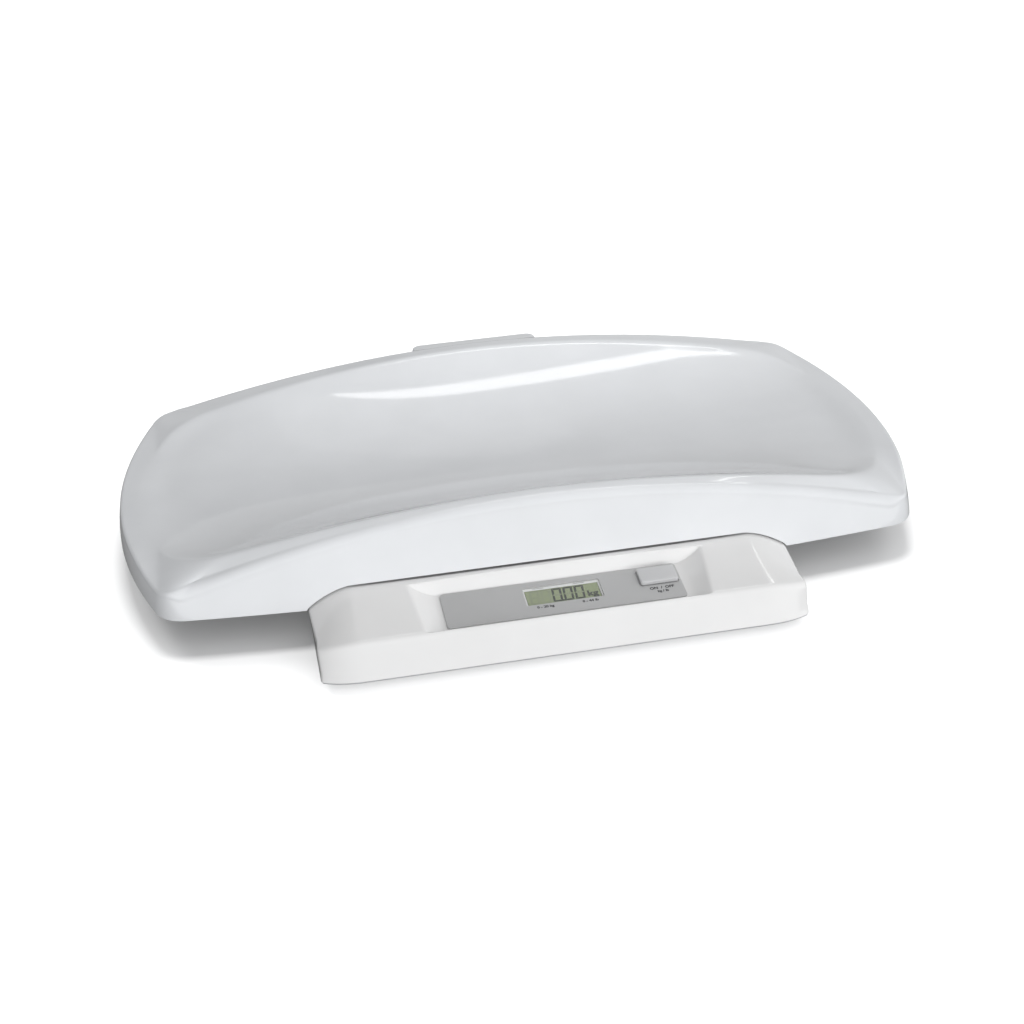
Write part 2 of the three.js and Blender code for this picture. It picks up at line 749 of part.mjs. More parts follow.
// Base pan: a floor with a rim inside the cover wall, openings for the feet and the battery door
function makeBottomPan() {
  let pan = solidOf(plate(basePlan(0), panBottomZ, panTopZ));
  const rimOutside = basePlan(-(baseWall + panRimGap));
  const rimInside = basePlan(-(baseWall + panRimGap + panRimWall));
  const rim = solidOf(plate(rimOutside, panTopZ - panThickness / 2, panTopZ + panRimHeight))
    .subtract(solidOf(plate(rimInside, panBottomZ - cutOverrun, panTopZ + cutOverrun)));
  pan = pan.add(rim);
  for (const [x, y] of panScrewPlaces) {
    pan = pan.add(round(bossRadius, panBottomZ, panTopZ + bossHeight, x, y, smallSegments));
  }
  for (const [x, y] of panScrewPlaces) {
    const seat = panBottomZ + screwRecess + screwHeadHeight + seatGap;
    const above = panTopZ + cutOverrun;
    pan = pan.subtract(round(screwHeadRadius + seatGap, panBottomZ - cutOverrun, seat, x, y, smallSegments));
    pan = pan.subtract(round(screwShankRadius + seatGap, panBottomZ, above, x, y, smallSegments));
  }
  for (const [, x, y] of footPlaces) {
    pan = pan.subtract(round(cupRadius + cupHoleGap, panBottomZ - cutOverrun, panTopZ + cutOverrun, x, y));
  }
  pan = pan.subtract(block(
    -doorHalfWidth,
    doorHalfWidth,
    doorFrontY,
    baseRearY + cutOverrun,
    panBottomZ - cutOverrun,
    panTopZ + cutOverrun,
  ));
  const doorwayHalf = doorHalfWidth + doorFlangeReach + slidingGap;
  const rimFrontY = baseRearY - baseWall - panRimGap - panRimWall - seatGap;
  return pan.subtract(block(
    -doorwayHalf,
    doorwayHalf,
    rimFrontY,
    baseRearY + cutOverrun,
    panTopZ,
    panTopZ + cutOverrun,
  ));
}

// Battery door: a plate with side flanges that run above the pan floor, and grip grooves below
function makeBatteryDoor() {
  const plateHalf = doorHalfWidth - slidingGap;
  const flangeHalf = doorHalfWidth + doorFlangeReach;
  const flangeZ = panTopZ + seatGap;
  let door = block(-plateHalf, plateHalf, doorFrontY + slidingGap, baseRearY, panBottomZ, doorTopZ)
    .add(block(-flangeHalf, flangeHalf, doorFrontY - doorOverlap, baseRearY, flangeZ, doorTopZ));
  for (let i = 0; i < doorGrooves; i += 1) {
    const y = baseRearY - (i + 2) * doorGroovePitch;
    door = door.subtract(block(
      -doorGrooveLength / 2,
      doorGrooveLength / 2,
      y - doorGrooveWidth / 2,
      y + doorGrooveWidth / 2,
      panBottomZ - cutOverrun,
      panBottomZ + doorGrooveDepth,
    ));
  }
  return door;
}

function makeBatteryHolder() {
  const inner = holderHalfWidth - holderWall;
  const channelHalf = doorHalfWidth + doorFlangeReach + slidingGap;
  const footHalf = channelHalf + holderFlangeWidth;
  const flangeTopZ = holderBottomZ + holderWall;
  let holder = block(-holderHalfWidth, holderHalfWidth, holderFrontY, holderRearY, holderBottomZ, holderTopZ)
    .add(block(-footHalf, footHalf, holderFrontY, holderRearY, panTopZ + seatGap, flangeTopZ))
    .subtract(block(
      -channelHalf,
      channelHalf,
      holderFrontY - cutOverrun,
      holderRearY + cutOverrun,
      panBottomZ,
      holderBottomZ,
    ))
    .subtract(block(
      -inner,
      inner,
      holderFrontY + holderWall,
      holderRearY - holderWall,
      panBottomZ,
      holderTopZ - holderWall,
    ));
  const upstandTopZ = deckZ - baseWall - seatGap;
  for (const y of [holderFrontY, holderRearY - upstandWidth - deckEdgeRound]) {
    holder = holder.add(block(
      -holderHalfWidth,
      holderHalfWidth,
      y,
      y + upstandWidth,
      holderTopZ - holderWall / 2,
      upstandTopZ,
    ));
  }
  return holder;
}

function contactStrip(frontFaceY) {
  const half = holderHalfWidth - holderWall - 2 * seatGap;
  return blockGeometry(
    -half,
    half,
    frontFaceY,
    frontFaceY + contactThickness,
    batteryAxisZ - contactHeight / 2,
    batteryAxisZ + contactHeight / 2,
  );
}

// A dry cell with its negative end at the origin, lying along +Y
function dryCell() {
  const shoulder = batteryLength;
  return turned([
    [0, 0],
    [batteryRadius, 0],
    [batteryRadius, shoulder],
    [batteryNubRadius, shoulder],
    [batteryNubRadius, shoulder + batteryNubLength],
    [0, shoulder + batteryNubLength],
  ]).rotateX(-Math.PI / 2);
}

class HelixCurve extends THREE.Curve {
  getPoint(share) {
    const turn = 2 * Math.PI * springTurns * share;
    const along = springWire + share * (springLength - 2 * springWire);
    return new THREE.Vector3(springRadius * Math.cos(turn), along, springRadius * Math.sin(turn));
  }
}

function polygonShape(radius, sides) {
  const corners = Array.from({ length: sides }, (_, i) => (2 * Math.PI * i) / sides);
  return new THREE.Shape(corners.map((a) => new THREE.Vector2(radius * Math.cos(a), radius * Math.sin(a))));
}

function tube(curve, radius, sides, steps) {
  return new THREE.ExtrudeGeometry(polygonShape(radius, sides), { extrudePath: curve, steps });
}

// Feet and load cells
function footPad() {
  return turned([
    [0, 0],
    [padRadius - padEdge, 0],
    [padRadius, padEdge],
    [padRadius, padHeight],
    [0, padHeight],
  ]);
}

function footCup() {
  const recessTop = padHeight + seatGap;
  const recessRadius = padRadius + seatGap;
  return turned([
    [0, recessTop],
    [recessRadius, recessTop],
    [recessRadius, cupBottomZ],
    [cupRadius, cupBottomZ],
    [cupRadius, cupTopZ - padEdge],
    [cupRadius - padEdge, cupTopZ],
    [0, cupTopZ],
  ]);
}

// A bending beam: a square frame with a centre tongue that stands on the foot
function loadCell() {
  const bottom = cupTopZ + seatGap;
  const outline = roundedRectangle(cellSize, cellSize, cellFrameWidth / 2);
  const half = cellSize / 2 - cellFrameWidth;
  let cell = solidOf(plate(outline, bottom, bottom + cellThickness, 2));
  for (const near of [cellTongueWidth / 2, -cellTongueWidth / 2 - cellSlotWidth]) {
    const slot = block(near, near + cellSlotWidth, -half, half, bottom - cutOverrun, bottom + cutOverrun);
    cell = cell.subtract(slot);
  }
  return cell;
}

function panScrew() {
  const headBottom = panBottomZ + screwRecess;
  const headTop = headBottom + screwHeadHeight;
  const slot = screwSlotLength / 2;
  const tip = panTopZ + bossHeight + screwReach;
  const screw = solidOf(turned([
    [0, headBottom],
    [screwHeadRadius, headBottom],
    [screwHeadRadius, headTop],
    [screwShankRadius, headTop],
    [screwShankRadius, tip - screwShankRadius],
    [0, tip],
  ], smallSegments));
  const half = screwSlotWidth / 2;
  const floor = headBottom + screwSlotDepth;
  return screw
    .subtract(block(-slot, slot, -half, half, headBottom - cutOverrun, floor))
    .subtract(block(-half, half, -slot, slot, headBottom - cutOverrun, floor));
}

// Console pieces, all in the panel's own frame
function makeLabel() {
  const outline = roundedRectangle(labelWidth, labelDepth, labelCornerRadius);
  const windowSize = [windowWidth + 2 * seatGap, windowDepth + 2 * seatGap];
  const keySize = [keyWidth + 2 * keySideGap, keyDepth + 2 * keySideGap];
  const windowHole = roundedRectangle(...windowSize, keyEdgeRound, windowX, windowY);
  const keyHole = roundedRectangle(...keySize, keyCornerRadius, keyX, keyY);
  outline.holes.push(new THREE.Path(windowHole.getPoints(1)), new THREE.Path(keyHole.getPoints(2)));
  return plate(outline, -labelThickness, 0);
}

function makeWindow() {
  const outline = roundedRectangle(windowWidth, windowDepth, keyEdgeRound, windowX, windowY);
  return plate(outline, -labelThickness, 0, 1);
}

function windowBlock(halfX, halfY, z0, z1) {
  return block(windowX - halfX, windowX + halfX, windowY - halfY, windowY + halfY, z0, z1);
}

function ledgeFrame(openHalfX, openHalfY, z0, z1, outerHalfX, outerHalfY) {
  return windowBlock(outerHalfX, outerHalfY, z0, z1)
    .subtract(windowBlock(openHalfX, openHalfY, z0 - cutOverrun, z1 + cutOverrun));
}

const lcdHalfX = windowWidth / 2 + lcdGlassMargin;
const lcdHalfY = windowDepth / 2 + lcdGlassMargin;

function makeLcdFrame() {
  const outerX = lcdHalfX + lcdFrameWall;
  const outerY = lcdHalfY + lcdFrameWall;
  const lipX = windowWidth / 2 - windowLedge;
  const lipY = windowDepth / 2 - windowLedge;
  const lip = ledgeFrame(lipX, lipY, lcdFrameTop - lcdFrameLip, lcdFrameTop, outerX, outerY);
  const wall = ledgeFrame(
    lcdHalfX + seatGap,
    lcdHalfY + seatGap,
    boardTop + seatGap,
    lcdFrameTop - lcdFrameLip / 2,
    outerX,
    outerY,
  );
  return lip.add(wall);
}

// The display glass: a wide lower plate under the frame's lip, and an upper one that stands up through it
function makeLcd() {
  const upperX = windowWidth / 2 - windowLedge - seatGap;
  const upperY = windowDepth / 2 - windowLedge - seatGap;
  return windowBlock(lcdHalfX, lcdHalfY, lcdTop - lcdThickness, lcdTop)
    .add(windowBlock(upperX, upperY, lcdTop - lcdThickness / 2, pocketFloor));
}

function zebraStrip(side) {
  const y = windowY + side * (lcdHalfY - zebraWidth);
  return blockGeometry(
    windowX - lcdHalfX + zebraWidth,
    windowX + lcdHalfX - zebraWidth,
    y - zebraWidth / 2,
    y + zebraWidth / 2,
    boardTop + seatGap,
    zebraTop,
  );
}

function makeBoard() {
  const outline = roundedRectangle(boardWidth, boardDepth, boardPostRadius / 2);
  for (const [x, y] of boardPostPlaces) {
    const hole = new THREE.Path();
    hole.absarc(x, y, boardScrewShank + seatGap, 0, 2 * Math.PI, true);
    outline.holes.push(hole);
  }
  return plate(outline, boardUnderside, boardTop, 4);
}

function boardScrew(x, y) {
  const seat = boardUnderside - seatGap;
  return turned([
    [0, seat - boardScrewHeadHeight],
    [boardScrewHead, seat - boardScrewHeadHeight],
    [boardScrewHead, seat],
    [boardScrewShank, seat],
    [boardScrewShank, boardTop + boardScrewReach],
    [0, boardTop + boardScrewReach],
  ], smallSegments).translate(x, y, 0);
}

function makeKey() {
  const outline = roundedRectangle(keyWidth, keyDepth, keyCornerRadius, keyX, keyY);
  const cap = plate(outline, keyBottom, keyHeight - keyEdgeRound);
  const inset = 2 * keyEdgeRound;
  const crownSize = [keyWidth - inset, keyDepth - inset, keyCornerRadius - keyEdgeRound];
  const crownOutline = roundedRectangle(...crownSize, keyX, keyY);
  const crown = plate(crownOutline, keyHeight - inset, keyHeight);
  const [hubX0, hubX1, hubY0, hubY1] = keyHubBlock(0, 0, 0);
  const hookBottom = keyHookTop - keyHookHeight;
  const hub = block(hubX0, hubX1, hubY0, hubY1, hookBottom, keyBottom + keyEdgeRound);
  const hooks = block(hubX0 - keyHookReach, hubX1 + keyHookReach, hubY0, hubY1, hookBottom, keyHookTop);
  const stemBottom = plungerTop + seatGap;
  const stem = round(keyStemRadius, stemBottom, hookBottom + keyHookHeight / 2, keyX, keyY, smallSegments);
  return solidOf(cap).add(solidOf(crown)).add(hub).add(hooks).add(stem);
}

function makeSwitchBody() {
  const half = switchSize / 2;
  const well = switchTop - plungerSunk - keyTravel - keyFloorGap;
  return block(keyX - half, keyX + half, keyY - half, keyY + half, boardTop + seatGap, switchTop)
    .subtract(round(plungerRadius + seatGap, well, switchTop + cutOverrun, keyX, keyY, smallSegments));
}

function makeConnector() {
  const rear = boardDepth / 2 - seatGap;
  const top = boardUnderside - seatGap;
  return blockGeometry(
    -connectorWidth / 2,
    connectorWidth / 2,
    rear - connectorDepth,
    rear,
    top - connectorHeight,
    top,
  );
}

// Tray: one thin moulding with ribs and sockets underneath, notched round the console
function makeTray() {
  const inside = traySolid(trayWall, skirtBottomZ - cutOverrun);
  const middle = traySolid(trayWall / 2, skirtBottomZ);
  const top = rimEndZ + rimArchRise;
  let tray = traySolid(0, skirtBottomZ).subtract(inside);
  const inner = pegRadius + pegPlay;
  for (const [, x, y] of pegPlaces) {
    const socket = round(inner + socketWall, socketBottomZ, top, x, y)
      .subtract(round(inner, socketBottomZ - cutOverrun, top + cutOverrun, x, y));
    tray = tray.add(socket.intersect(middle));
  }
  for (const side of [-1, 1]) {
    const y = side * longRibY;
    const [near, far] = [y - ribWidth / 2, y + ribWidth / 2];
    const rib = block(-longRibHalfLength, longRibHalfLength, near, far, socketBottomZ, top);
    tray = tray.add(rib.intersect(middle));
    for (const fromPeg of crossRibsFromPeg) {
      const x = side * (pegX + fromPeg);
      const [left, right] = [x - ribWidth / 2, x + ribWidth / 2];
      const across = block(left, right, -crossRibHalfLength, crossRibHalfLength, socketBottomZ, top);
      tray = tray.add(across.intersect(middle));
    }
  }
  return tray.subtract(baseSolid(seamGap, panBottomZ));
}

function makeRearGrip() {
  const faceY = trayCornerY - traySideDrawIn;
  const outline = roundedRectangle(gripWidth, 2 * gripReach, gripCornerRadius, 0, faceY);
  const top = rimEndZ + rimArchRise - gripBelowRim;
  return solidOf(plate(outline, top - gripThickness, top)).subtract(traySolid(-seatGap, skirtBottomZ));
}

function seatRing() {
  const inner = pegRadius + pegPlay;
  const bottom = deckZ + seatGap;
  const outline = new THREE.Shape();
  outline.absarc(0, 0, inner + ringWidth, 0, 2 * Math.PI, false);
  const hole = new THREE.Path();
  hole.absarc(0, 0, inner, 0, 2 * Math.PI, true);
  outline.holes.push(hole);
  return plate(outline, bottom, bottom + ringHeight, roundSegments / 2);
}

// Leads: hand-laid routes over the pan floor from each load cell and the batteries to the board
const leadRoutes = {
  front_left: [[-96, -160, 10], [-72, -148, 9], [-40, -142, 9.5], [-16, -143, 12]],
  rear_left: [[-96, 88, 9.4], [-72, 40, 8.2], [-46, -20, 8.2], [-22, -90, 8.6], [-9, -138, 11.5]],
  battery: [[0, 44, 14], [0, 20, 9], [1, -40, 8.2], [2, -100, 8.4], [2, -138, 11.5]],
  rear_right: [[96, 88, 9.4], [72, 40, 8.2], [48, -20, 8.2], [25, -90, 8.6], [13, -138, 11.5]],
  front_right: [[96, -160, 10], [74, -148, 9], [44, -142, 9.5], [20, -143, 12]],
};

function makeLead(name, slot) {
  const rear = boardDepth / 2;
  const end = new THREE.Vector3(slot * leadPitch, rear, boardUnderside - seatGap - connectorHeight / 2);
  const run = new THREE.Vector3(end.x, end.y + 2 * leadPitch, end.z);
  const place = footPlaces.find(([corner]) => corner === name);
  const start = new THREE.Vector3(0, holderFrontY - seatGap, batteryAxisZ);
  if (place) {
    const [, x, y] = place;
    start.set(x - Math.sign(x) * (cellSize / 2 + 2 * seatGap), y, cupTopZ + seatGap + cellThickness / 2);
  }
  const middle = leadRoutes[name].map((p) => new THREE.Vector3(...p));
  const last = [run, end].map((p) => p.applyMatrix4(panelFrame));
  return tube(new THREE.CatmullRomCurve3([start, ...middle, ...last]), leadRadius, leadSides, leadSteps);
}

// Assembly
const scale = new THREE.Group();
const base = new THREE.Group();
const panel = new THREE.Group();
const tray = new THREE.Group();
scale.position.y = rowShiftY;
panel.applyMatrix4(panelFrame);
base.add(panel);
scale.add(base, tray);

base.add(piece('base_top_cover', makeTopCover(), finishes.glossWhite));
base.add(piece('base_bottom_pan', makeBottomPan(), finishes.panWhite));
base.add(piece('battery_door', makeBatteryDoor(), finishes.panWhite));
base.add(piece('battery_holder', makeBatteryHolder(), finishes.blackPlastic));

for (const [corner, x, y] of footPlaces) {
  const parts = [
    ['load_cell', loadCell(), finishes.steel],
    ['foot_cup', footCup(), finishes.panWhite],
    ['foot_pad', footPad(), finishes.rubberDark],
  ];
  for (const [kind, shape, finish] of parts) {
    const mesh = piece(`${kind}_${corner}`, shape, finish);
    mesh.position.set(x, y, 0);
    base.add(mesh);
  }
}

for (const [corner, x, y] of pegPlaces) {
  const ring = piece(`tray_ring_${corner}`, seatRing(), finishes.rubberGrey);
  ring.position.set(x, y, 0);
  base.add(ring);
}

panScrewPlaces.forEach(([x, y], i) => {
  const screw = piece(`pan_screw_${i + 1}`, panScrew(), finishes.steel);
  screw.position.set(x, y, 0);
  base.add(screw);
});

const stackFrontY = holderFrontY + holderWall + seatGap + contactThickness;
const stackRearY = holderRearY - holderWall - seatGap - contactThickness;
base.add(piece('contact_strip_front', contactStrip(stackFrontY - contactThickness), finishes.nickel));
base.add(piece('contact_strip_rear', contactStrip(stackRearY), finishes.nickel));
for (let i = 0; i < cellsInHolder; i += 1) {
  const x = (i - (cellsInHolder - 1) / 2) * batteryPitch;
  const facesRear = i % 2 === 0;
  const springY = facesRear ? stackFrontY + seatGap : stackRearY - seatGap;
  const cellY = facesRear ? springY + springLength + seatGap : springY - springLength - seatGap;
  const spring = piece(
    `battery_spring_${i + 1}`,
    tube(new HelixCurve(), springWire, springSides, springTurns * stepsPerCurl),
    finishes.nickel,
  );
  const cell = piece(`battery_${i + 1}`, dryCell(), finishes.cellJacket);
  for (const [mesh, y] of [[spring, springY], [cell, cellY]]) {
    mesh.position.set(x, y, batteryAxisZ);
    mesh.rotation.z = facesRear ? 0 : Math.PI;
    base.add(mesh);
  }
}

Object.keys(leadRoutes).forEach((name, i) => {
  base.add(piece(`lead_${name}`, makeLead(name, i - 2), finishes.leadGrey));
});

panel.add(piece('panel_label', makeLabel(), finishes.labelSilver));
panel.add(piece('display_window', makeWindow(), finishes.clearAcrylic));
panel.add(piece('lcd_frame', makeLcdFrame(), finishes.frameWhite));
panel.add(piece('lcd_module', makeLcd(), finishes.lcdGreen));
panel.add(piece('zebra_strip_front', zebraStrip(-1), finishes.rubberDark));
panel.add(piece('zebra_strip_rear', zebraStrip(1), finishes.rubberDark));
panel.add(piece('circuit_board', makeBoard(), finishes.boardGreen));
panel.add(piece('board_connector', makeConnector(), finishes.frameWhite));
panel.add(piece('key_switch', makeSwitchBody(), finishes.blackPlastic));
const plunger = round(plungerRadius, switchTop - plungerSunk, plungerTop, keyX, keyY, smallSegments);
panel.add(piece('key_plunger', plunger, finishes.blackPlastic));
panel.add(piece('control_key', makeKey(), finishes.keySilver));
boardPostPlaces.forEach(([x, y], i) => {
  panel.add(piece(`board_screw_${i + 1}`, boardScrew(x, y), finishes.steel));
});

tray.add(piece('tray_shell', makeTray(), finishes.glossWhite));
tray.add(piece('rear_grip', makeRearGrip(), finishes.glossWhite));

export default scale;
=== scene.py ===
import math

import bpy
import bmesh
import numpy as np
from mathutils import Matrix, Vector


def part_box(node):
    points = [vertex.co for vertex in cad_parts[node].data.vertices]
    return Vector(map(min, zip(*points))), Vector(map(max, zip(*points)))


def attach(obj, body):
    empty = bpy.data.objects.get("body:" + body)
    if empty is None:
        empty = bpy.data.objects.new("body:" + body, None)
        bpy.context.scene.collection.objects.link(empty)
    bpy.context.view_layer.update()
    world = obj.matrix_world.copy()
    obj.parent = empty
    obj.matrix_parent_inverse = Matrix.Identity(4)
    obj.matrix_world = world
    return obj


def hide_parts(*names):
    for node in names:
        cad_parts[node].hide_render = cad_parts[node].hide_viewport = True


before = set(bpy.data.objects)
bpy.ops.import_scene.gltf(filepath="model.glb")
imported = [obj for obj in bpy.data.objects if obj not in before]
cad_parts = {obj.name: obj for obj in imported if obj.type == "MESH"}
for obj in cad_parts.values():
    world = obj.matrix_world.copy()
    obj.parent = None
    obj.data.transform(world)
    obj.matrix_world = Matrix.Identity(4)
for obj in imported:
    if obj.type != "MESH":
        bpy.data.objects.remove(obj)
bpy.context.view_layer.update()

# The studio: a white floor under a tent that is bright in front and on the right and dark behind. Two
# cards overhead and a backdrop behind show as reflections. The camera looks from the front left, and
# each lamp lights only some things: the floor here, and the cover, label, key and tray further on.
tray_middle_y = (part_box("tray_ring_front_left")[0].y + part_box("tray_ring_rear_left")[1].y) / 2
camera_turn = math.radians(-9.501)
camera_rise = math.radians(28.293)
camera_roll = math.radians(-2.854)
camera_distance = 1.274422
camera_aim = Vector((0.000848, tray_middle_y, -0.001847))
camera_lens = 60.196
camera_sensor = 36

away = Vector((
    math.sin(camera_turn) * math.cos(camera_rise),
    -math.cos(camera_turn) * math.cos(camera_rise),
    math.sin(camera_rise),
))
level = (-away).cross(Vector((0, 0, 1))).normalized()
upright = level.cross(-away)
right = level * math.cos(camera_roll) + upright * math.sin(camera_roll)
up = upright * math.cos(camera_roll) - level * math.sin(camera_roll)


def placed(name, data):
    """A new object in the scene."""
    thing = bpy.data.objects.new(name, data)
    bpy.context.scene.collection.objects.link(thing)
    return thing


def dial(node, **settings):
    """Sets a node's inputs, with an underscore for each space in an input's name."""
    for name, value in settings.items():
        node.inputs[name.replace("_", " ")].default_value = value


camera = placed("studio_camera", bpy.data.cameras.new("studio_camera"))
camera.data.lens = camera_lens
camera.data.sensor_width = camera_sensor
camera.data.clip_start = 0.01
camera.matrix_world = Matrix.Translation(camera_aim + away * camera_distance) @ Matrix((
    (right.x, up.x, away.x),
    (right.y, up.y, away.y),
    (right.z, up.z, away.z),
)).to_4x4()
bpy.context.scene.camera = camera
bpy.context.scene.view_settings.view_transform = "Standard"

tent = bpy.data.worlds.new("studio_tent")
bpy.context.scene.world = tent
tent.use_nodes = True
tent_nodes, tent_links = tent.node_tree.nodes, tent.node_tree.links
tent_place = tent_nodes.new("ShaderNodeTexCoord")
tent_level = None
for toward, brightness in (((0, -1, 0), 1.81), ((1, 0, 0), 1.03), ((0, 1, 0), 0.065)):
    facing = tent_nodes.new("ShaderNodeVectorMath")
    facing.operation = "DOT_PRODUCT"
    facing.inputs[1].default_value = toward
    tent_links.new(tent_place.outputs["Generated"], facing.inputs[0])
    lit = tent_nodes.new("ShaderNodeMath")
    lit.operation = "MAXIMUM"
    lit.inputs[1].default_value = 0
    tent_links.new(facing.outputs["Value"], lit.inputs[0])
    total = tent_nodes.new("ShaderNodeMath")
    total.operation = "MULTIPLY_ADD"
    total.inputs[1].default_value = brightness
    total.inputs[2].default_value = 0
    tent_links.new(lit.outputs["Value"], total.inputs[0])
    if tent_level:
        tent_links.new(tent_level, total.inputs[2])
    tent_level = total.outputs["Value"]
tent_links.new(tent_level, tent_nodes["Background"].inputs["Strength"])
tent_nodes["Background"].inputs["Color"].default_value = (0.98, 0.99, 1, 1)


def studio_sheet(name, corners, material):
    mesh = bpy.data.meshes.new(name)
    mesh.from_pydata(corners, [], [tuple(range(len(corners)))])
    mesh.materials.append(material)
    return placed(name, mesh)


def glowing_sheet(name, corners, brightness):
    """A bright sheet that the camera doesn't see and that casts no shadow."""
    glow = bpy.data.materials.new(name)
    glow.use_nodes = True
    dial(
        glow.node_tree.nodes["Principled BSDF"],
        Base_Color=(0, 0, 0, 1), Emission_Color=(1, 1, 1, 1), Emission_Strength=brightness,
    )
    sheet = studio_sheet(name, corners, glow)
    sheet.visible_camera = False
    sheet.visible_shadow = False
    return sheet


card_height = 1.565
card_front_edge = [
    (-0.18, 0.59), (-0.09, 0.558), (0, 0.522), (0.1, 0.489), (0.205, 0.466), (0.315, 0.463),
    (0.43, 0.481), (0.525, 0.522), (0.636, 0.588), (0.745, 0.671), (0.88, 0.812),
]
card_rear_edge = [
    (1.4, 1.8), (1.23, 1.45), (0.872, 0.938), (0.678, 0.772), (0.536, 0.685), (0.415, 0.64),
    (0.3, 0.62), (0.2, 0.62), (0.108, 0.632), (0.008, 0.639), (-0.105, 0.636), (-0.215, 0.626),
]
rear_card_outline = [(-0.45, 0.75), (-0.11, 1.58), (0.23, 2.43), (0.52, 2.93), (0.52, 0.66), (-0.3, 0.66)]
for name, outline, brightness in (
    ("wedge_card", card_front_edge + card_rear_edge, 5.6),
    ("rear_card", rear_card_outline, 0.4),
):
    glowing_sheet(name, [(x, y, card_height) for x, y in outline], brightness)
backdrop_half, backdrop_y, backdrop_foot, backdrop_top = 2.6, 2.1, 0.02, 0.86
backdrop = glowing_sheet("backdrop", [
    (-backdrop_half, backdrop_y, backdrop_foot),
    (backdrop_half, backdrop_y, backdrop_foot),
    (backdrop_half, backdrop_y, backdrop_top),
    (-backdrop_half, backdrop_y, backdrop_top),
], 0.35)
backdrop.visible_diffuse = False

white_floor = bpy.data.materials.new("white_floor")
white_floor.use_nodes = True
floor_nodes, floor_links = white_floor.node_tree.nodes, white_floor.node_tree.links
seen_floor = floor_nodes["Principled BSDF"]
dial(seen_floor, Base_Color=(0.8, 0.8, 0.8, 1), Roughness=1, Specular_IOR_Level=0)
dial(seen_floor, Emission_Color=(1, 1, 1, 1), Emission_Strength=0.07)
dull_floor = floor_nodes.new("ShaderNodeBsdfDiffuse")
dial(dull_floor, Color=(0.16, 0.16, 0.16, 1))
either = floor_nodes.new("ShaderNodeMixShader")
floor_links.new(floor_nodes.new("ShaderNodeLightPath").outputs["Is Camera Ray"], either.inputs["Fac"])
floor_links.new(dull_floor.outputs["BSDF"], either.inputs[1])
floor_links.new(seen_floor.outputs["BSDF"], either.inputs[2])
floor_links.new(either.outputs["Shader"], floor_nodes["Material Output"].inputs["Surface"])
floor_half = 6
square = [(-1, -1), (1, -1), (1, 1), (-1, 1)]
studio_floor = studio_sheet(
    "studio_floor", [(x * floor_half, y * floor_half, 0) for x, y in square], white_floor
)


def hung_lamp(name, place, width, depth, watts, lit_things):
    """An area lamp, facing down, that lights only the things in one collection."""
    lamp = bpy.data.lights.new(name, "AREA")
    lamp.shape = "RECTANGLE"
    lamp.size, lamp.size_y = width, depth
    lamp.energy = watts
    hung = placed(name, lamp)
    hung.location = place
    hung.light_linking.receiver_collection = lit_things
    return hung


only_floor = bpy.data.collections.new("only_floor")
only_floor.objects.link(studio_floor)
shading_tray = bpy.data.collections.new("shading_tray")
for name, place, width, depth, watts, shaded_by in (
    ("floor_lamp_top", (0, 0, 2.5), 0.8, 0.8, 35, shading_tray),
    ("floor_lamp_rear", (0, 2.2, 1.0), 2, 1, 7, None),
    ("floor_lamp_rear_left", (-1.3, 1.3, 1.8), 1, 1, 24, None),
    ("floor_lamp_right", (1.6, 0.3, 2.0), 1, 1, 7, None),
):
    floor_lamp = hung_lamp(name, place, width, depth, watts, only_floor)
    floor_lamp.rotation_euler = (-Vector(place)).to_track_quat("-Z", "Y").to_euler()
    floor_lamp.light_linking.blocker_collection = shaded_by

# Base cover: one glossy ABS moulding with the low deck under the tray and the console in front.
# The console's top slopes up from a soft crest and holds a scooped pocket for the label.
# Posts inside take the screws, and four pegs on the deck carry the tray.
cover_low, cover_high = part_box("base_top_cover")
label_low, label_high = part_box("panel_label")
seat_gap = 0.0003
base_half_width = cover_high.x
base_front_y = cover_low.y
base_rear_y = cover_high.y
base_corner_radius = 0.0013
front_sweep = 0.0062
front_sweep_width = 0.034
end_lean = 0.0027
end_splay = 0.0018
end_lean_width = 0.024
base_wall = 0.0025
cover_bottom = cover_low.z
peg_height = 0.008
deck_z = cover_high.z - peg_height
deck_edge_round = 0.004
rear_draft = 0.001
console_top = deck_z + 0.0022
console_top_bow = 0.0018
crest_z = console_top - 0.0111
crest_inset = 0.008
crest_shoulder_drop = 0.0045
seam_y = base_front_y + 0.0593
seam_bow = 0.0034
seam_shoulder_bow = 0.0026
seam_step = 0.003
deck_front = seam_y + 0.0117
deck_front_step = 0.004
shoulder_width = 0.026
shoulder_drop = 0.0111
shoulder_slope_share = 0.35
seam_gap = 0.0012
panel_tilt = math.radians(7.5)
label_width = label_high.x - label_low.x
label_depth = 0.0352
label_thickness = 0.001
panel_x = (label_low.x + label_high.x) / 2
panel_y = label_low.y + label_depth / 2 * math.cos(panel_tilt)
panel_z = label_high.z - label_depth / 2 * math.sin(panel_tilt)
on_panel = Matrix.Translation((panel_x, panel_y, panel_z)) @ Matrix.Rotation(panel_tilt, 4, "X")
pocket_margin = 0.0008
pocket_floor = -(label_thickness + seat_gap)
pocket_floor_wall = 0.002
pocket_rise = 0.014
pocket_side_flare = 0.0255
pocket_rear_flare = 0.0075
pocket_front_flare = 0.013
pocket_side_power = 0.625
pocket_mitre_softness = 0.0006
pocket_lip_softness = 0.0007
bend_steps = 7


def mesh_piece(name, points, faces):
    mesh = bpy.data.meshes.new(name)
    mesh.from_pydata([tuple(point) for point in points], [], faces)
    piece = placed(name, mesh)
    shell = bmesh.new()
    shell.from_mesh(mesh)
    bmesh.ops.recalc_face_normals(shell, faces=shell.faces)
    shell.to_mesh(mesh)
    shell.free()
    return piece


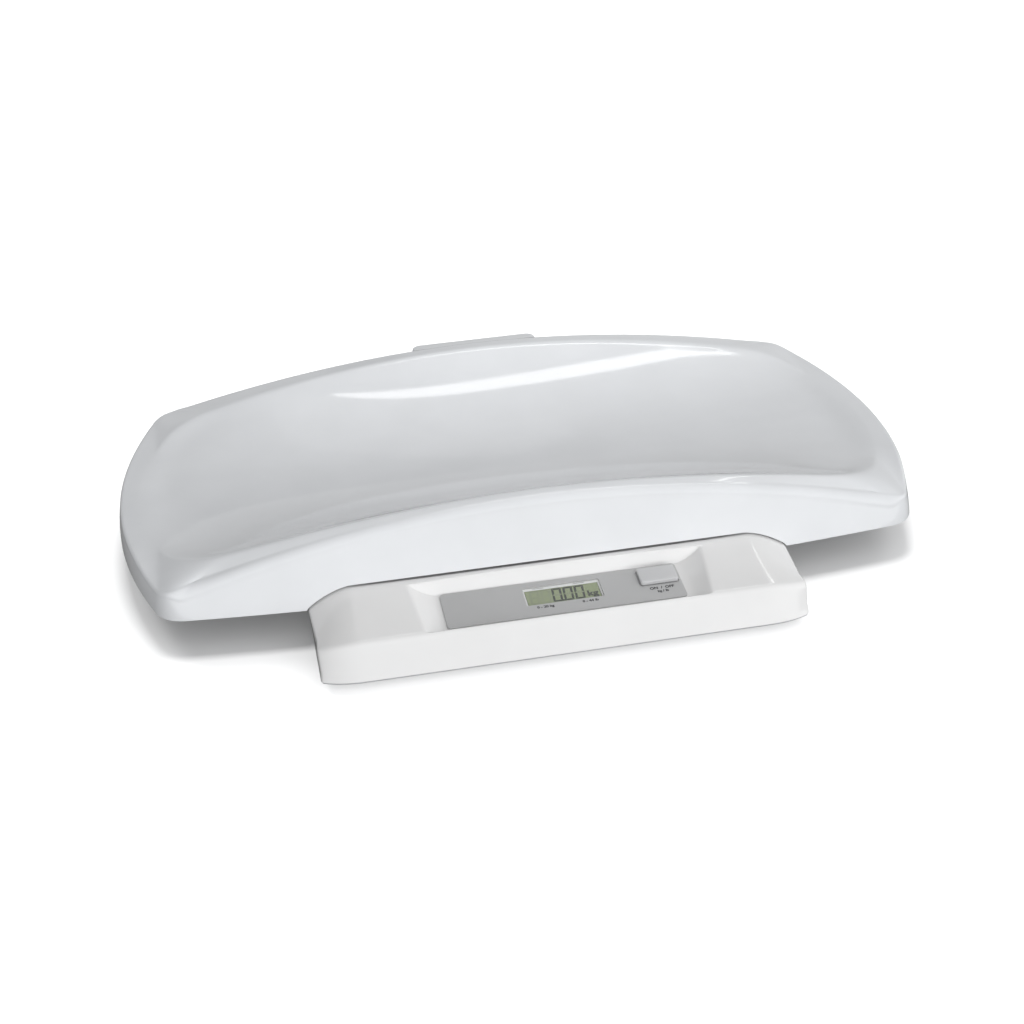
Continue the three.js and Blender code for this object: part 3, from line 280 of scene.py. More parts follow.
def lofted(name, rings, closed=False):
    """A skin through rings of equally many points, capped at both ends or joined end to end."""
    rings = np.asarray(rings, float)
    rows, count = rings.shape[:2]
    faces = []
    for row in range(rows if closed else rows - 1):
        here, there = row * count, (row + 1) % rows * count
        for column in range(count):
            after = (column + 1) % count
            faces.append((here + column, here + after, there + after, there + column))
    if not closed:
        faces.append(tuple(range(count)))
        faces.append(tuple(range((rows - 1) * count, rows * count)))
    return mesh_piece(name, rings.reshape(-1, 3), faces)


def settle(piece):
    """Turns a piece's modifiers into plain mesh."""
    shaped = piece.evaluated_get(bpy.context.evaluated_depsgraph_get())
    mesh = bpy.data.meshes.new_from_object(shaped)
    piece.modifiers.clear()
    piece.data = mesh


def combine(piece, operation, tools):
    for tool in tools:
        step = piece.modifiers.new(operation.lower(), "BOOLEAN")
        step.operation = operation
        step.solver = "MANIFOLD"
        step.object = tool
    settle(piece)
    for tool in tools:
        bpy.data.objects.remove(tool)


def rounded_line(corners, reaches, spans):
    """Points along straight spans, with every inner corner bent over its reach."""
    corners = [Vector(corner) for corner in corners]
    starts, ends = [], []
    for i in range(len(corners) - 1):
        run = corners[i + 1] - corners[i]
        limit = run.length * 0.49
        starts.append(corners[i] + run.normalized() * min(reaches[i], limit))
        ends.append(corners[i + 1] - run.normalized() * min(reaches[i + 1], limit))
    points = []
    for i, span in enumerate(spans):
        points += [starts[i].lerp(ends[i], step / span) for step in range(span + 1)]
        if i + 1 < len(spans):
            for step in range(1, bend_steps):
                share = step / bend_steps
                toward = ends[i].lerp(corners[i + 1], share)
                leaving = corners[i + 1].lerp(starts[i + 1], share)
                points.append(toward.lerp(leaving, share))
    return points


def held(value):
    """Holds a value between 0 and 1."""
    return min(1, max(0, value))


def corner_radius(grow):
    return max(base_corner_radius + grow, base_corner_radius / 4)


def corner_setback(x, grow):
    radius = corner_radius(grow)
    run = min(radius, max(0, abs(x) - (base_half_width + grow - radius)))
    return radius - math.sqrt(radius ** 2 - run ** 2)


def front_edge(x, grow):
    """The base's front line in plan: straight, and swept back towards both ends."""
    share = held((abs(x) - (base_half_width - front_sweep_width)) / front_sweep_width)
    return base_front_y + front_sweep * share ** 3 - grow + corner_setback(x, grow)


def leaned(point):
    """The console's end walls splay out to the rear and lean in towards their front upper corners."""
    x, y, z = point
    near_end = held(1 - (base_half_width - abs(x)) / end_lean_width)
    forward = held((seam_y - y) / (seam_y - base_front_y))
    upward = held((z - cover_bottom) / (crest_z - cover_bottom))
    out = end_splay * (1 - forward ** 2) - end_lean * forward * upward
    return (x + math.copysign(out * near_end, x), y, z)


def soft_minimum(a, b, softness):
    share = held(0.5 + 0.5 * (b - a) / softness)
    return b + (a - b) * share - softness * share * (1 - share)


def pocket_surface(x, y):
    """Height of the pocket's floor and of the walls that scoop up from it and meet in mitred corners."""
    rise = pocket_floor
    across = max(0, abs(x - panel_x) - (label_width / 2 + pocket_margin))
    side = pocket_rise * (across / pocket_side_flare) ** (1 / pocket_side_power)
    for _ in range(3):
        along = (y - panel_y + rise * math.sin(panel_tilt)) / math.cos(panel_tilt)
        beyond = max(0, abs(along) - (label_depth / 2 + pocket_margin))
        flare = pocket_rear_flare if along > 0 else pocket_front_flare
        rise = pocket_floor - soft_minimum(-side, -pocket_rise * beyond / flare, pocket_mitre_softness)
    return panel_z + (y - panel_y) * math.tan(panel_tilt) + rise / math.cos(panel_tilt)


def base_stations(grow, spacing):
    flat = base_half_width + grow - corner_radius(grow)
    turns = [flat + corner_radius(grow) * math.sin(turn * math.pi / 16) for turn in range(1, 9)]
    middle = np.linspace(-flat, flat, 2 * round(base_half_width / spacing) + 1)
    return [-x for x in reversed(turns)] + list(middle) + turns


def base_section(x, grow, bottom, pocket_drop):
    """The base's outline at one station, from the foot of the front round to the foot of the rear."""
    beyond = held((abs(x) - (base_half_width - shoulder_width)) / shoulder_width)
    fall = beyond * (shoulder_slope_share + (1 - shoulder_slope_share) * beyond)
    off_middle = min(1, abs(x) / (base_half_width - shoulder_width)) ** 2
    setback = corner_setback(x, grow)
    front = front_edge(x, grow)
    rear = base_rear_y + grow - setback
    crest = crest_z - crest_shoulder_drop * fall + grow - setback
    top = console_top - console_top_bow * off_middle - shoulder_drop * fall + grow - setback
    deck = deck_z + grow - setback
    crest_y = front + crest_inset
    seam = seam_y + seam_bow * off_middle - seam_shoulder_bow * fall
    edge = deck_front - deck_front_step - seam_step + grow if grow > 0 else seam
    low = min(top, deck)
    line = rounded_line(
        [
            (front, cover_bottom), (crest_y, crest),
            (seam - seam_step, top), (edge, top), (edge + seam_step, low),
            (deck_front - deck_front_step + abs(grow), low), (deck_front + abs(grow), deck),
            (rear - rear_draft, deck), (rear, cover_bottom),
        ],
        [0, 0.0035, 0.002, 0.0004, 0.0005, 0.001, 0.001, deck_edge_round, 0],
        [8, 80, 4, 4, 3, 3, 24, 6],
    )
    section = [(x, front, bottom)]
    for y, z in line:
        if y < seam - seam_step and z > (cover_bottom + crest_z) / 2:
            z = soft_minimum(z, pocket_surface(x, y) - pocket_drop, pocket_lip_softness)
        section.append((x, y, z))
    section.append((x, rear, bottom))
    return section


def base_block(name, grow, bottom, pocket_drop, spacing):
    """The base as a solid block, larger or smaller all round than the moulding by grow."""
    sections = [base_section(x, grow, bottom, pocket_drop) for x in base_stations(grow, spacing)]
    return lofted(name, [[leaned(point) for point in section] for section in sections])


def box_piece(name, low, high):
    points = [(x, y, z) for x in (low[0], high[0]) for y in (low[1], high[1]) for z in (low[2], high[2])]
    sides = [(0, 1, 3, 2), (4, 6, 7, 5), (0, 4, 5, 1), (2, 3, 7, 6), (0, 2, 6, 4), (1, 5, 7, 3)]
    return mesh_piece(name, points, sides)


def round_outline(width, depth, radius, steps=8):
    outline = []
    for quarter, (side_x, side_y) in enumerate(((1, -1), (1, 1), (-1, 1), (-1, -1))):
        for step in range(steps + 1):
            turn = (quarter - 1 + step / steps) * math.pi / 2
            outline.append((
                side_x * (width / 2 - radius) + radius * math.cos(turn),
                side_y * (depth / 2 - radius) + radius * math.sin(turn),
            ))
    return outline


def eased_plate(name, size, radius, low, high, ease, centre=(0, 0)):
    """A plate with round corners, whose top and bottom edges are eased."""
    turns = [step * math.pi / 8 for step in range(5)]
    profile = [(ease * (1 - math.sin(turn)), low + ease * (1 - math.cos(turn))) for turn in turns]
    profile += [(ease * (1 - math.cos(turn)), high - ease * (1 - math.sin(turn))) for turn in turns]
    rings = []
    for inset, height in profile:
        outline = round_outline(size[0] - 2 * inset, size[1] - 2 * inset, radius - inset)
        rings.append([(centre[0] + x, centre[1] + y, height) for x, y in outline])
    return lofted(name, rings)


def panel_hole(name, size, radius, centre):
    """A cutter that reaches through the label and the console's top."""
    return eased_plate(name, size, radius, -0.005, 0.002, 0, centre)


def turned(name, profile, place=(0, 0), steps=56, closed=False):
    """A piece turned on a lathe from (radius, height) pairs."""
    rings = []
    for radius, height in profile:
        turns = [2 * math.pi * step / steps for step in range(steps)]
        ring = [(place[0] + radius * math.cos(turn), place[1] + radius * math.sin(turn)) for turn in turns]
        rings.append([(x, y, height) for x, y in ring])
    return lofted(name, rings, closed)


def turned_at(places, name, profile, steps=56, closed=False):
    return [turned(name, profile, place, steps, closed) for place in places]


def toned(name, scale, detail, stops, shine, relief):
    """A material whose tone and roughness follow one noise; also returns that noise and a bump node."""
    material = bpy.data.materials.new(name)
    material.use_nodes = True
    nodes, links = material.node_tree.nodes, material.node_tree.links
    shader = nodes["Principled BSDF"]
    noise = nodes.new("ShaderNodeTexNoise")
    dial(noise, Scale=scale, Detail=detail)
    tone = nodes.new("ShaderNodeValToRGB")
    for element, (position, colour) in zip(tone.color_ramp.elements, stops):
        element.position = position
        element.color = (*colour, 1)
    links.new(noise.outputs["Fac"], tone.inputs["Fac"])
    links.new(tone.outputs["Color"], shader.inputs["Base Color"])
    dulling = nodes.new("ShaderNodeMapRange")
    dial(dulling, To_Min=shine[0], To_Max=shine[1])
    links.new(noise.outputs["Fac"], dulling.inputs["Value"])
    links.new(dulling.outputs["Result"], shader.inputs["Roughness"])
    bump = nodes.new("ShaderNodeBump")
    dial(bump, Distance=relief)
    links.new(bump.outputs["Normal"], shader.inputs["Normal"])
    return material, noise, bump


def moulded(name, colour, roughness, grain, relief, drift=0.015):
    """Plastic or rubber with the fine grain of its mould and a slow drift of tone."""
    dark, light = ([min(1, channel * factor) for channel in colour] for factor in (1 - drift, 1 + drift))
    shine = (roughness * 0.85, roughness * 1.15)
    stops = ((0.35, dark), (0.65, light))
    material, cloud, bump = toned(name, scale=22, detail=3, stops=stops, shine=shine, relief=relief)
    nodes, links = material.node_tree.nodes, material.node_tree.links
    place = nodes.new("ShaderNodeTexCoord")
    links.new(place.outputs["Object"], cloud.inputs["Vector"])
    grains = nodes.new("ShaderNodeTexNoise")
    dial(grains, Scale=1 / grain, Detail=2)
    links.new(place.outputs["Object"], grains.inputs["Vector"])
    links.new(grains.outputs["Fac"], bump.inputs["Height"])
    return material


def dress(piece, material, body, slot, *nodes, crease=32):
    """Gives a finished piece its surface and its body, and hides the frame nodes it stands for. The slot
    argument is not used.
    """
    piece.data.shade_smooth()
    piece.data.set_sharp_from_angle(angle=math.radians(crease))
    piece.data.materials.clear()
    piece.data.materials.append(material)
    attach(piece, body)
    if nodes:
        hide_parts(*nodes)


def middle_in_plan(node):
    low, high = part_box(node)
    return ((low.x + high.x) / 2, (low.y + high.y) / 2)


gloss_white = moulded("gloss_white_abs", (0.80, 0.81, 0.825), 0.07, 0.0022, 0.000002)
window_size = (0.0504, 0.018)
window_centre = (0.0004, 0.0032)
window_ledge = 0.0008
key_size = (0.0252, 0.0152)
key_centre = (label_width / 2 - 0.0145, 0.0058)
key_hub_margin = 0.0026
key_side_gap = 0.0005
peg_radius = 0.006
peg_chamfer = 0.0012
corners = ("front_left", "front_right", "rear_left", "rear_right")
peg_places = {corner: middle_in_plan(f"tray_ring_{corner}") for corner in corners}
foot_places = {corner: middle_in_plan(f"foot_cup_{corner}") for corner in corners}
screw_places = [middle_in_plan(f"pan_screw_{number}") for number in range(1, 7)]
door_low, door_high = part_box("battery_door")

fine_spacing, coarse_spacing = 0.0015, 0.003
cover = base_block("base_cover", grow=0, bottom=cover_bottom, pocket_drop=0, spacing=fine_spacing)
inside = base_block("base_inside", -base_wall, cover_bottom - 0.02, pocket_floor_wall, coarse_spacing)
combine(cover, "DIFFERENCE", [inside])
pegs = turned_at(peg_places.values(), "peg", [
    (peg_radius, deck_z - base_wall / 2),
    (peg_radius, deck_z + peg_height - peg_chamfer),
    (peg_radius - peg_chamfer * 0.3, deck_z + peg_height - peg_chamfer * 0.3),
    (peg_radius - peg_chamfer, deck_z + peg_height),
])
combine(cover, "UNION", pegs)
pan_top = 0.0065
cell_size = 0.032
cell_rib_width = 0.0035
cell_rib_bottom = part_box("load_cell_front_left")[1].z + seat_gap
post_bottom = pan_top + 0.0038
board_top, board_post_top = -0.0109, -0.0023
post_radius, board_post_radius = 0.0045, 0.003
posts = turned_at(screw_places, "screw_post", [(post_radius, post_bottom), (post_radius, deck_z)], steps=32)
for x, y in foot_places.values():
    for offset in (-1, 1):
        middle = x + offset * (cell_size - cell_rib_width) / 2
        posts.append(box_piece(
            "cell_rib",
            (middle - cell_rib_width / 2, y - cell_size / 2, cell_rib_bottom),
            (middle + cell_rib_width / 2, y + cell_size / 2, deck_z),
        ))
board_post_places = ((-0.069, 0.009), (-0.069, -0.009), (0.069, -0.009), (0.0412, 0.009))
board_post = [(board_post_radius, board_top + seat_gap), (board_post_radius, board_post_top)]
for post in turned_at(board_post_places, "board_post", board_post, steps=32):
    post.data.transform(on_panel)
    posts.append(post)
combine(posts[0], "UNION", posts[1:])
posts_pocket_drop = 0.0012
posts_reach = base_block("posts_reach", -base_wall / 2, cover_bottom, posts_pocket_drop, coarse_spacing)
combine(posts[0], "INTERSECT", [posts_reach])
shank_radius = 0.0018
screw_hole = [(shank_radius, 0), (shank_radius, post_bottom + 0.012)]
combine(posts[0], "DIFFERENCE", turned_at(screw_places, "screw_hole", screw_hole, steps=24))
combine(cover, "UNION", posts[:1])
window_way = tuple(side - 2 * window_ledge for side in window_size)
key_way = tuple(side - 2 * key_hub_margin + 2 * key_side_gap for side in key_size)
openings = [
    panel_hole("window_opening", window_way, 0.0008, window_centre),
    panel_hole("key_opening", key_way, 0.001, key_centre),
]
for opening in openings:
    opening.data.transform(on_panel)
door_way_reach = base_wall + 0.0022
door_way = box_piece(
    "door_way",
    (door_low.x - seat_gap, base_rear_y - door_way_reach, cover_bottom - 0.01),
    (door_high.x + seat_gap, base_rear_y + 0.01, door_high.z + seat_gap),
)
combine(cover, "DIFFERENCE", [*openings, door_way])
cover_white = moulded("cover_white_abs", (0.755, 0.75, 0.745), 0.08, 0.0022, 0.000002)
dress(cover, cover_white, "base", "gloss_white", "base_top_cover")
only_cover = bpy.data.collections.new("only_cover")
only_cover.objects.link(cover)
console_place = (0.55, -1.2, 0.12)
console_lamp = hung_lamp(
    "console_lamp", console_place, width=0.5, depth=0.2, watts=1.9, lit_things=only_cover
)
console_lamp.rotation_euler = (math.pi / 2, 0, math.radians(28))
console_lamp.visible_glossy = False

# Display window: a small plate of clear acrylic, glued on the ledge round its opening. A white band
# with two short marks is printed under its rear edge.
acrylic = moulded("clear_acrylic", (0.86, 0.9, 0.87), 0.03, 0.004, 0.000001)
dial(acrylic.node_tree.nodes["Principled BSDF"], Alpha=0.05)
window_plate = eased_plate("window_plate", window_size, 0.0005, -label_thickness, 0, 0.0002, window_centre)
window_plate.data.transform(on_panel)
dress(window_plate, acrylic, "base", "clear_acrylic", "display_window")


def flat_marks(name, outlines, low, high):
    """Thin prisms on flat outlines, such as printed or etched marks."""
    marks = [
        lofted(name, [[(x, y, height) for x, y in outline] for height in (low, high)])
        for outline in outlines
    ]
    joined = bmesh.new()
    for mark in marks:
        joined.from_mesh(mark.data)
    for mark in marks[1:]:
        bpy.data.objects.remove(mark)
    joined.to_mesh(marks[0].data)
    joined.free()
    return marks[0]


def rectangle(centre, width, depth):
    x, y = centre
    return [(x + side_x * width / 2, y + side_y * depth / 2) for side_x, side_y in square]


white_print = moulded("white_print", (0.86, 0.86, 0.85), 0.4, 0.0006, 0.000002)
dark_print = moulded("dark_print", (0.03, 0.03, 0.034), 0.45, 0.0006, 0.000002, 0.1)
band_depth = 0.0021
band_y = window_centre[1] + window_size[1] / 2 - 0.0002 - band_depth / 2
band = [rectangle((window_centre[0], band_y), window_size[0] - 0.0006, band_depth)]
band_marks = [rectangle((x, band_y + 0.0005), 0.0072, 0.0003) for x in (-0.0145, 0.0125)]
for name, outlines, low, high, ink, slot in (
    ("window_band", band, -0.00008, -0.00002, white_print, "frame_white"),
    ("window_band_marks", band_marks, -0.00002, 0, dark_print, "black_plastic"),
):
    printed = flat_marks(name, outlines, low - label_thickness, high - label_thickness)
    printed.data.transform(on_panel)
    dress(printed, ink, "base", slot)

# Panel label: a satin silver-grey plate stuck down in the pocket, with holes for the window and the
# key. It carries plain figures, units and switch words, and its left part is bare.
label_silver = moulded("satin_silver_film", (0.445, 0.445, 0.445), 0.34, 0.0004, 0.000003, 0.02)
label_radius = 0.0026
label_fit = 0.0003
label = eased_plate("label_plate", (label_width, label_depth), label_radius, -label_thickness, 0, 0.0002)
label_holes = [
    panel_hole("window_hole", tuple(side + 2 * label_fit for side in window_size), 0.0007, window_centre),
    panel_hole("key_hole", tuple(side + 2 * key_side_gap for side in key_size), 0.0019, key_centre),
]
combine(label, "DIFFERENCE", label_holes)
label.data.transform(on_panel)
dress(label, label_silver, "base", "label_silver", "panel_label")


def lettering(name, words, size, place, height, weight):
    """Printed words, centred on a place of the panel; weight thickens their strokes."""
    line = bpy.data.curves.new(name, "FONT")
    line.body = words
    line.size = size
    line.align_x = "CENTER"
    line.offset = weight
    line.extrude = 0.00001
    line.resolution_u = 4
    drawn = placed(name + "_line", line)
    shaped = drawn.evaluated_get(bpy.context.evaluated_depsgraph_get())
    mesh = bpy.data.meshes.new_from_object(shaped)
    bpy.data.objects.remove(drawn)
    mesh.transform(on_panel @ Matrix.Translation((*place, height)))
    return placed(name, mesh)


for name, words, size, place in (
    ("print_on_off", "ON  /  OFF", 0.0034, (0.0642, -0.0068)),
    ("print_units", "kg / lb", 0.0030, (0.0642, -0.0102)),
    ("print_range_kg", "0 - 20 kg", 0.0031, (-0.0135, -0.0100)),
    ("print_range_lb", "0 - 44 lb", 0.0031, (0.0160, -0.0100)),
):
    dress(lettering(name, words, size, place, 0.00001, 0.00013), dark_print, "base", "black_plastic")

# Control key: a silver-painted cap that stands proud of the label. Its hub runs down through the
# console to two hooks, and a stem under it presses the switch on the board.
key_silver = moulded("silver_paint", (0.57, 0.57, 0.575), 0.24, 0.0003, 0.000002, 0.01)
key_low, key_high = pocket_floor + 0.001, 0.0031
key_corner = 0.0016
hook_reach = 0.0016
hook_low, hook_high = -0.0047, -0.0036
stem_low = -0.0049
key_hub = tuple(side - 2 * key_hub_margin for side in key_size)
hooks_size = (key_hub[0] + 2 * hook_reach, key_hub[1])
key_cap = eased_plate("key_cap", key_size, key_corner, key_low, key_high, 0.001, key_centre)
hub_parts = [
    eased_plate("key_hub", key_hub, 0.0008, hook_low, key_low + 0.0005, 0, key_centre),
    eased_plate("key_hooks", hooks_size, 0.0004, hook_low, hook_high, 0.0002, key_centre),
    turned("key_stem", [(0.0024, stem_low), (0.0024, hook_low + 0.0005)], key_centre, steps=32),
]
combine(key_cap, "UNION", hub_parts)
key_cap.data.transform(on_panel)
dress(key_cap, key_silver, "control_key", "key_silver", "control_key")
front_parts = bpy.data.collections.new("front_parts")
for part in (cover, label, key_cap):
    front_parts.objects.link(part)
overhead_place = (0.35, -0.2, 1.5)
overhead_lamp = hung_lamp(
    "overhead_lamp", overhead_place, width=0.6, depth=0.6, watts=2.2, lit_things=front_parts
)
overhead_lamp.visible_glossy = False

# Display: a reflective olive-green liquid crystal glass whose upper plate stands up under the window,
# held by a white frame. The lit segments read zero, and the unlit ones show faintly.
def coat(material, *names):
    """Gives frame nodes that keep their own shape a better surface."""
    for name in names:
        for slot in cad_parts[name].material_slots:
            slot.material = material


lcd_green = moulded("lcd_green", (0.30, 0.345, 0.195), 0.16, 0.0012, 0.000001, 0.02)
frame_white = moulded("frame_white", (0.84, 0.84, 0.83), 0.42, 0.0005, 0.000006)
coat(lcd_green, "lcd_module")
coat(frame_white, "lcd_frame", "board_connector")
digit_foot = -0.0041
digit_slant = 0.06
digit_width, digit_height, stroke, notch = 0.0064, 0.0136, 0.0015, 0.00012
w, h, t, g = digit_width, digit_height, stroke, notch
upper_left = [(0, h - g), (t, h - t - g), (t, h / 2 + t / 2 + g), (0, h / 2 + g)]
top_bar = [(g, h), (w - g, h), (w - t - g, h - t), (t + g, h - t)]
middle_bar = [
    (t / 2 + g, h / 2), (t + g, h / 2 + t / 2), (w - t - g, h / 2 + t / 2),
    (w - t / 2 - g, h / 2), (w - t - g, h / 2 - t / 2), (t + g, h / 2 - t / 2),
]
uprights = [upper_left, [(w - x, y) for x, y in upper_left]]
ring_bars = uprights + [[(x, h - y) for x, y in bar] for bar in uprights]
ring_bars += [top_bar, [(x, h - y) for x, y in top_bar]]


def digit_bars(left, bars):
    return [[(left + x + digit_slant * y, digit_foot + y) for x, y in bar] for bar in bars]


zero_places = (-0.0071, 0.0003, 0.0077)
blank_places = (-0.0219, -0.0145)
point = rectangle((zero_places[1] - 0.0008, digit_foot + stroke / 2), stroke, stroke)
lit = [bar for left in zero_places for bar in digit_bars(left, ring_bars)] + [point]
faint = [bar for left in blank_places for bar in digit_bars(left, ring_bars + [middle_bar])]
faint += [bar for left in zero_places for bar in digit_bars(left, [middle_bar])]
lit_ink = moulded("lcd_segment", (0.02, 0.024, 0.016), 0.4, 0.0006, 0.000001, 0.1)
faint_ink = moulded("lcd_faint_segment", (0.27, 0.30, 0.19), 0.2, 0.0006, 0.000001, 0.05)
for name, bars, ink, slot in (
    ("lcd_segments", lit, lit_ink, "black_plastic"),
    ("lcd_faint_segments", faint, faint_ink, "lcd_green"),
):
    segments = flat_marks(name, bars, pocket_floor + 0.00001, pocket_floor + 0.00003)
    segments.data.transform(on_panel)
    dress(segments, ink, "base", slot)
unit_words = lettering("lcd_unit", "kg", 0.0078, (0.0195, -0.0027), pocket_floor + 0.00002, 0.0003)
dress(unit_words, lit_ink, "base", "black_plastic")

# Circuit board: a plate of green glass-fibre laminate with printed copper, screwed to posts under the
# console. It carries the switch, the plug for the leads and the rubber strips that feed the display.
def metal(name, colour, roughness, stretch, relief=0.000002):
    """Bare metal with the fine lines of rolling, drawing or turning."""
    dark = [channel * 0.86 for channel in colour]
    shine = (roughness * 0.75, roughness * 1.3)
    stops = ((0.3, dark), (0.7, colour))
    material, lines, bump = toned(name, scale=1, detail=4, stops=stops, shine=shine, relief=relief)
    nodes, links = material.node_tree.nodes, material.node_tree.links
    dial(nodes["Principled BSDF"], Metallic=1)
    along = nodes.new("ShaderNodeMapping")
    dial(along, Scale=stretch)
    links.new(nodes.new("ShaderNodeTexCoord").outputs["Object"], along.inputs["Vector"])
    links.new(along.outputs["Vector"], lines.inputs["Vector"])
    links.new(lines.outputs["Fac"], bump.inputs["Height"])
    return material


board_green = moulded("solder_mask", (0.05, 0.24, 0.1), 0.3, 0.0008, 0.000004, 0.05)
board_nodes, board_links = board_green.node_tree.nodes, board_green.node_tree.links
board_place = board_nodes.new("ShaderNodeTexCoord")
copper = board_nodes.new("ShaderNodeTexBrick")
dial(copper, Scale=60, Mortar_Size=0.03, Mortar=(0.1, 0.38, 0.16, 1))
dial(copper, Color1=(0.04, 0.2, 0.08, 1), Color2=(0.05, 0.23, 0.09, 1))
board_links.new(board_place.outputs["Object"], copper.inputs["Vector"])
board_links.new(copper.outputs["Color"], board_nodes["Principled BSDF"].inputs["Base Color"])
rubber_dark = moulded("dark_rubber", (0.035, 0.035, 0.038), 0.8, 0.0006, 0.00002, 0.12)
black_plastic = moulded("black_plastic", (0.028, 0.028, 0.031), 0.5, 0.0005, 0.00001, 0.1)
steel = metal("zinc_plated_steel", (0.62, 0.63, 0.65), 0.34, (900, 120, 900))
coat(board_green, "circuit_board")
coat(rubber_dark, "zebra_strip_front", "zebra_strip_rear")
coat(black_plastic, "key_switch", "key_plunger")
coat(steel, *[f"board_screw_{number}" for number in range(1, 5)])

# Battery holder: a black moulded box under the deck, open below, whose feet stand on the pan. Plated
# strips at both ends join the four cells, and each cell is pressed home by a coil spring.
nickel = metal("nickel_plate", (0.74, 0.71, 0.66), 0.22, (300, 900, 300))
coat(black_plastic, "battery_holder")
coat(nickel, "contact_strip_front", "contact_strip_rear")
cell_radius = 0.00725
spring_wire = 0.0007
spring_radius = 0.0036
spring_turns = 4.5
spring_steps = 28
spring_taper = 0.0009
coil_wire_radius = spring_wire / 2 * 0.9


def wound(name, path, radius, sides=10):
    """Round wire along a path."""
    rings = []
    for i, point in enumerate(path):
        ahead = path[min(i + 1, len(path) - 1)] - path[max(i - 1, 0)]
        ahead.normalize()
        across = ahead.cross(Vector((0, 1, 0))).normalized()
        rise = across.cross(ahead)
        turns = [2 * math.pi * side / sides for side in range(sides)]
        rings.append([tuple(point + (across * math.cos(a) + rise * math.sin(a)) * radius) for a in turns])
    return lofted(name, rings)


for number in range(1, 5):
    low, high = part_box(f"battery_spring_{number}")
    middle_x, middle_z = (low.x + high.x) / 2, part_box("battery_1")[0].z + cell_radius
    start, end = (low.y, high.y) if number % 2 else (high.y, low.y)
    inward = math.copysign(1, end - start)
    path = []
    for step in range(round(spring_turns * spring_steps) + 1):
        turn = step / spring_steps
        climb = held((turn - 1) / (spring_turns - 2))
        radius = spring_radius - spring_taper * climb
        angle = 2 * math.pi * turn
        y = start + inward * spring_wire + (end - start - 2 * inward * spring_wire) * climb
        path.append(Vector((middle_x + radius * math.cos(angle), y, middle_z + radius * math.sin(angle))))
    coil = wound(f"coil_spring_{number}", path, coil_wire_radius)
    dress(coil, nickel, "base", "nickel", f"battery_spring_{number}", crease=60)

# Load cells and feet: a slotted steel plate at each corner bends under the weight. Its tongue stands
# on a moulded foot, and a grooved rubber pad is pressed into the foot's underside.
coat(steel, *[f"load_cell_{corner}" for corner in foot_places])
pan_white = moulded("spark_eroded_white", (0.70, 0.71, 0.725), 0.46, 0.0007, 0.000018)
cup_low, cup_high = (corner.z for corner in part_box("foot_cup_front_left"))
pad_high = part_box("foot_pad_front_left")[1].z
cup_radius, cup_hole, pad_radius = 0.0155, 0.006, 0.013
for corner, place in foot_places.items():
    cup = turned(f"foot_shell_{corner}", [
        (cup_hole, pad_high + seat_gap), (pad_radius + seat_gap, pad_high + seat_gap),
        (pad_radius + seat_gap, cup_low + 0.0003), (pad_radius + 0.0005, cup_low),
        (cup_radius - 0.0005, cup_low), (cup_radius - 0.0001, cup_low + 0.0002),
        (cup_radius, cup_low + 0.0006), (cup_radius, cup_high - 0.001),
        (cup_radius - 0.0003, cup_high - 0.0003), (cup_radius - 0.001, cup_high), (cup_hole, cup_high),
    ], place)
    dress(cup, pan_white, "base", "pan_white", f"foot_cup_{corner}")
    pad = turned(f"rubber_foot_{corner}", [
        (0.0022, 0.0006), (0.0026, 0.0001), (0.0030, 0),
        (0.0054, 0), (0.0057, 0.0006), (0.0066, 0.0006), (0.0069, 0),
        (0.0090, 0), (0.0093, 0.0006), (0.0102, 0.0006), (0.0105, 0),
        (0.0120, 0), (0.0126, 0.0002), (pad_radius, 0.0008),
        (pad_radius, pad_high - 0.0003), (0.0127, pad_high),
    ], place)
    dress(pad, rubber_dark, "base", "rubber_dark", f"foot_pad_{corner}")

# Leads: five thin cords in grey PVC sleeves. Four come from the load cells and one from the battery
# holder. They lie over the pan and run forward to the plug on the board.
lead_grey = moulded("grey_pvc_sleeve", (0.16, 0.17, 0.18), 0.45, 0.0005, 0.000008, 0.08)
coat(lead_grey, *[f"lead_{end}" for end in [*foot_places, "battery"]])

# Bottom pan: a flat spark-eroded moulding that closes the base, with a rim inside the cover's wall,
# round openings for the feet and bosses for the screws. A shallow panel on its underside is bare.
pan_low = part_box("base_bottom_pan")[0].z
pan_rim_top = pan_top + 0.0045
pan_rim_gap, pan_rim_wall = 0.0012, 0.0022


def plan_block(name, levels):
    """A plate on the base's plan: each level is how far the plan grows there, and its height."""
    rings = []
    for grow, height in levels:
        front, rear = [], []
        for x in base_stations(grow, 0.004):
            front.append(leaned((x, front_edge(x, grow), height)))
            rear.append(leaned((x, base_rear_y + grow - corner_setback(x, grow), height)))
        rings.append(front + rear[::-1])
    return lofted(name, rings)


pan_edge = [
    (-0.0068, 0), (-0.0050, 0.0001), (-0.0028, 0.0007),
    (-0.0012, 0.0015), (-0.0007, 0.0021), (-0.0006, 0.0025),
]
pan = plan_block("pan", [(grow, pan_low + height) for grow, height in pan_edge])
rim_out = -(base_wall + pan_rim_gap)
rim_in = rim_out - pan_rim_wall
rim = plan_block("pan_rim", [
    (rim_out, pan_top - 0.001), (rim_out, pan_rim_top - 0.0003), (rim_out - 0.0003, pan_rim_top),
])
rim_inside = plan_block("rim_inside", [(rim_in, pan_low - 0.01), (rim_in, pan_rim_top + 0.01)])
combine(rim, "DIFFERENCE", [rim_inside])
boss = [(0.006, pan_low + 0.001), (0.006, pan_top + 0.0032), (0.0057, pan_top + 0.0035)]
bosses = turned_at(screw_places, "screw_boss", boss, steps=40)
combine(pan, "UNION", [rim, *bosses])
flange_reach = 0.0034
door_half = door_high.x - flange_reach
door_front = door_low.y + 0.0024
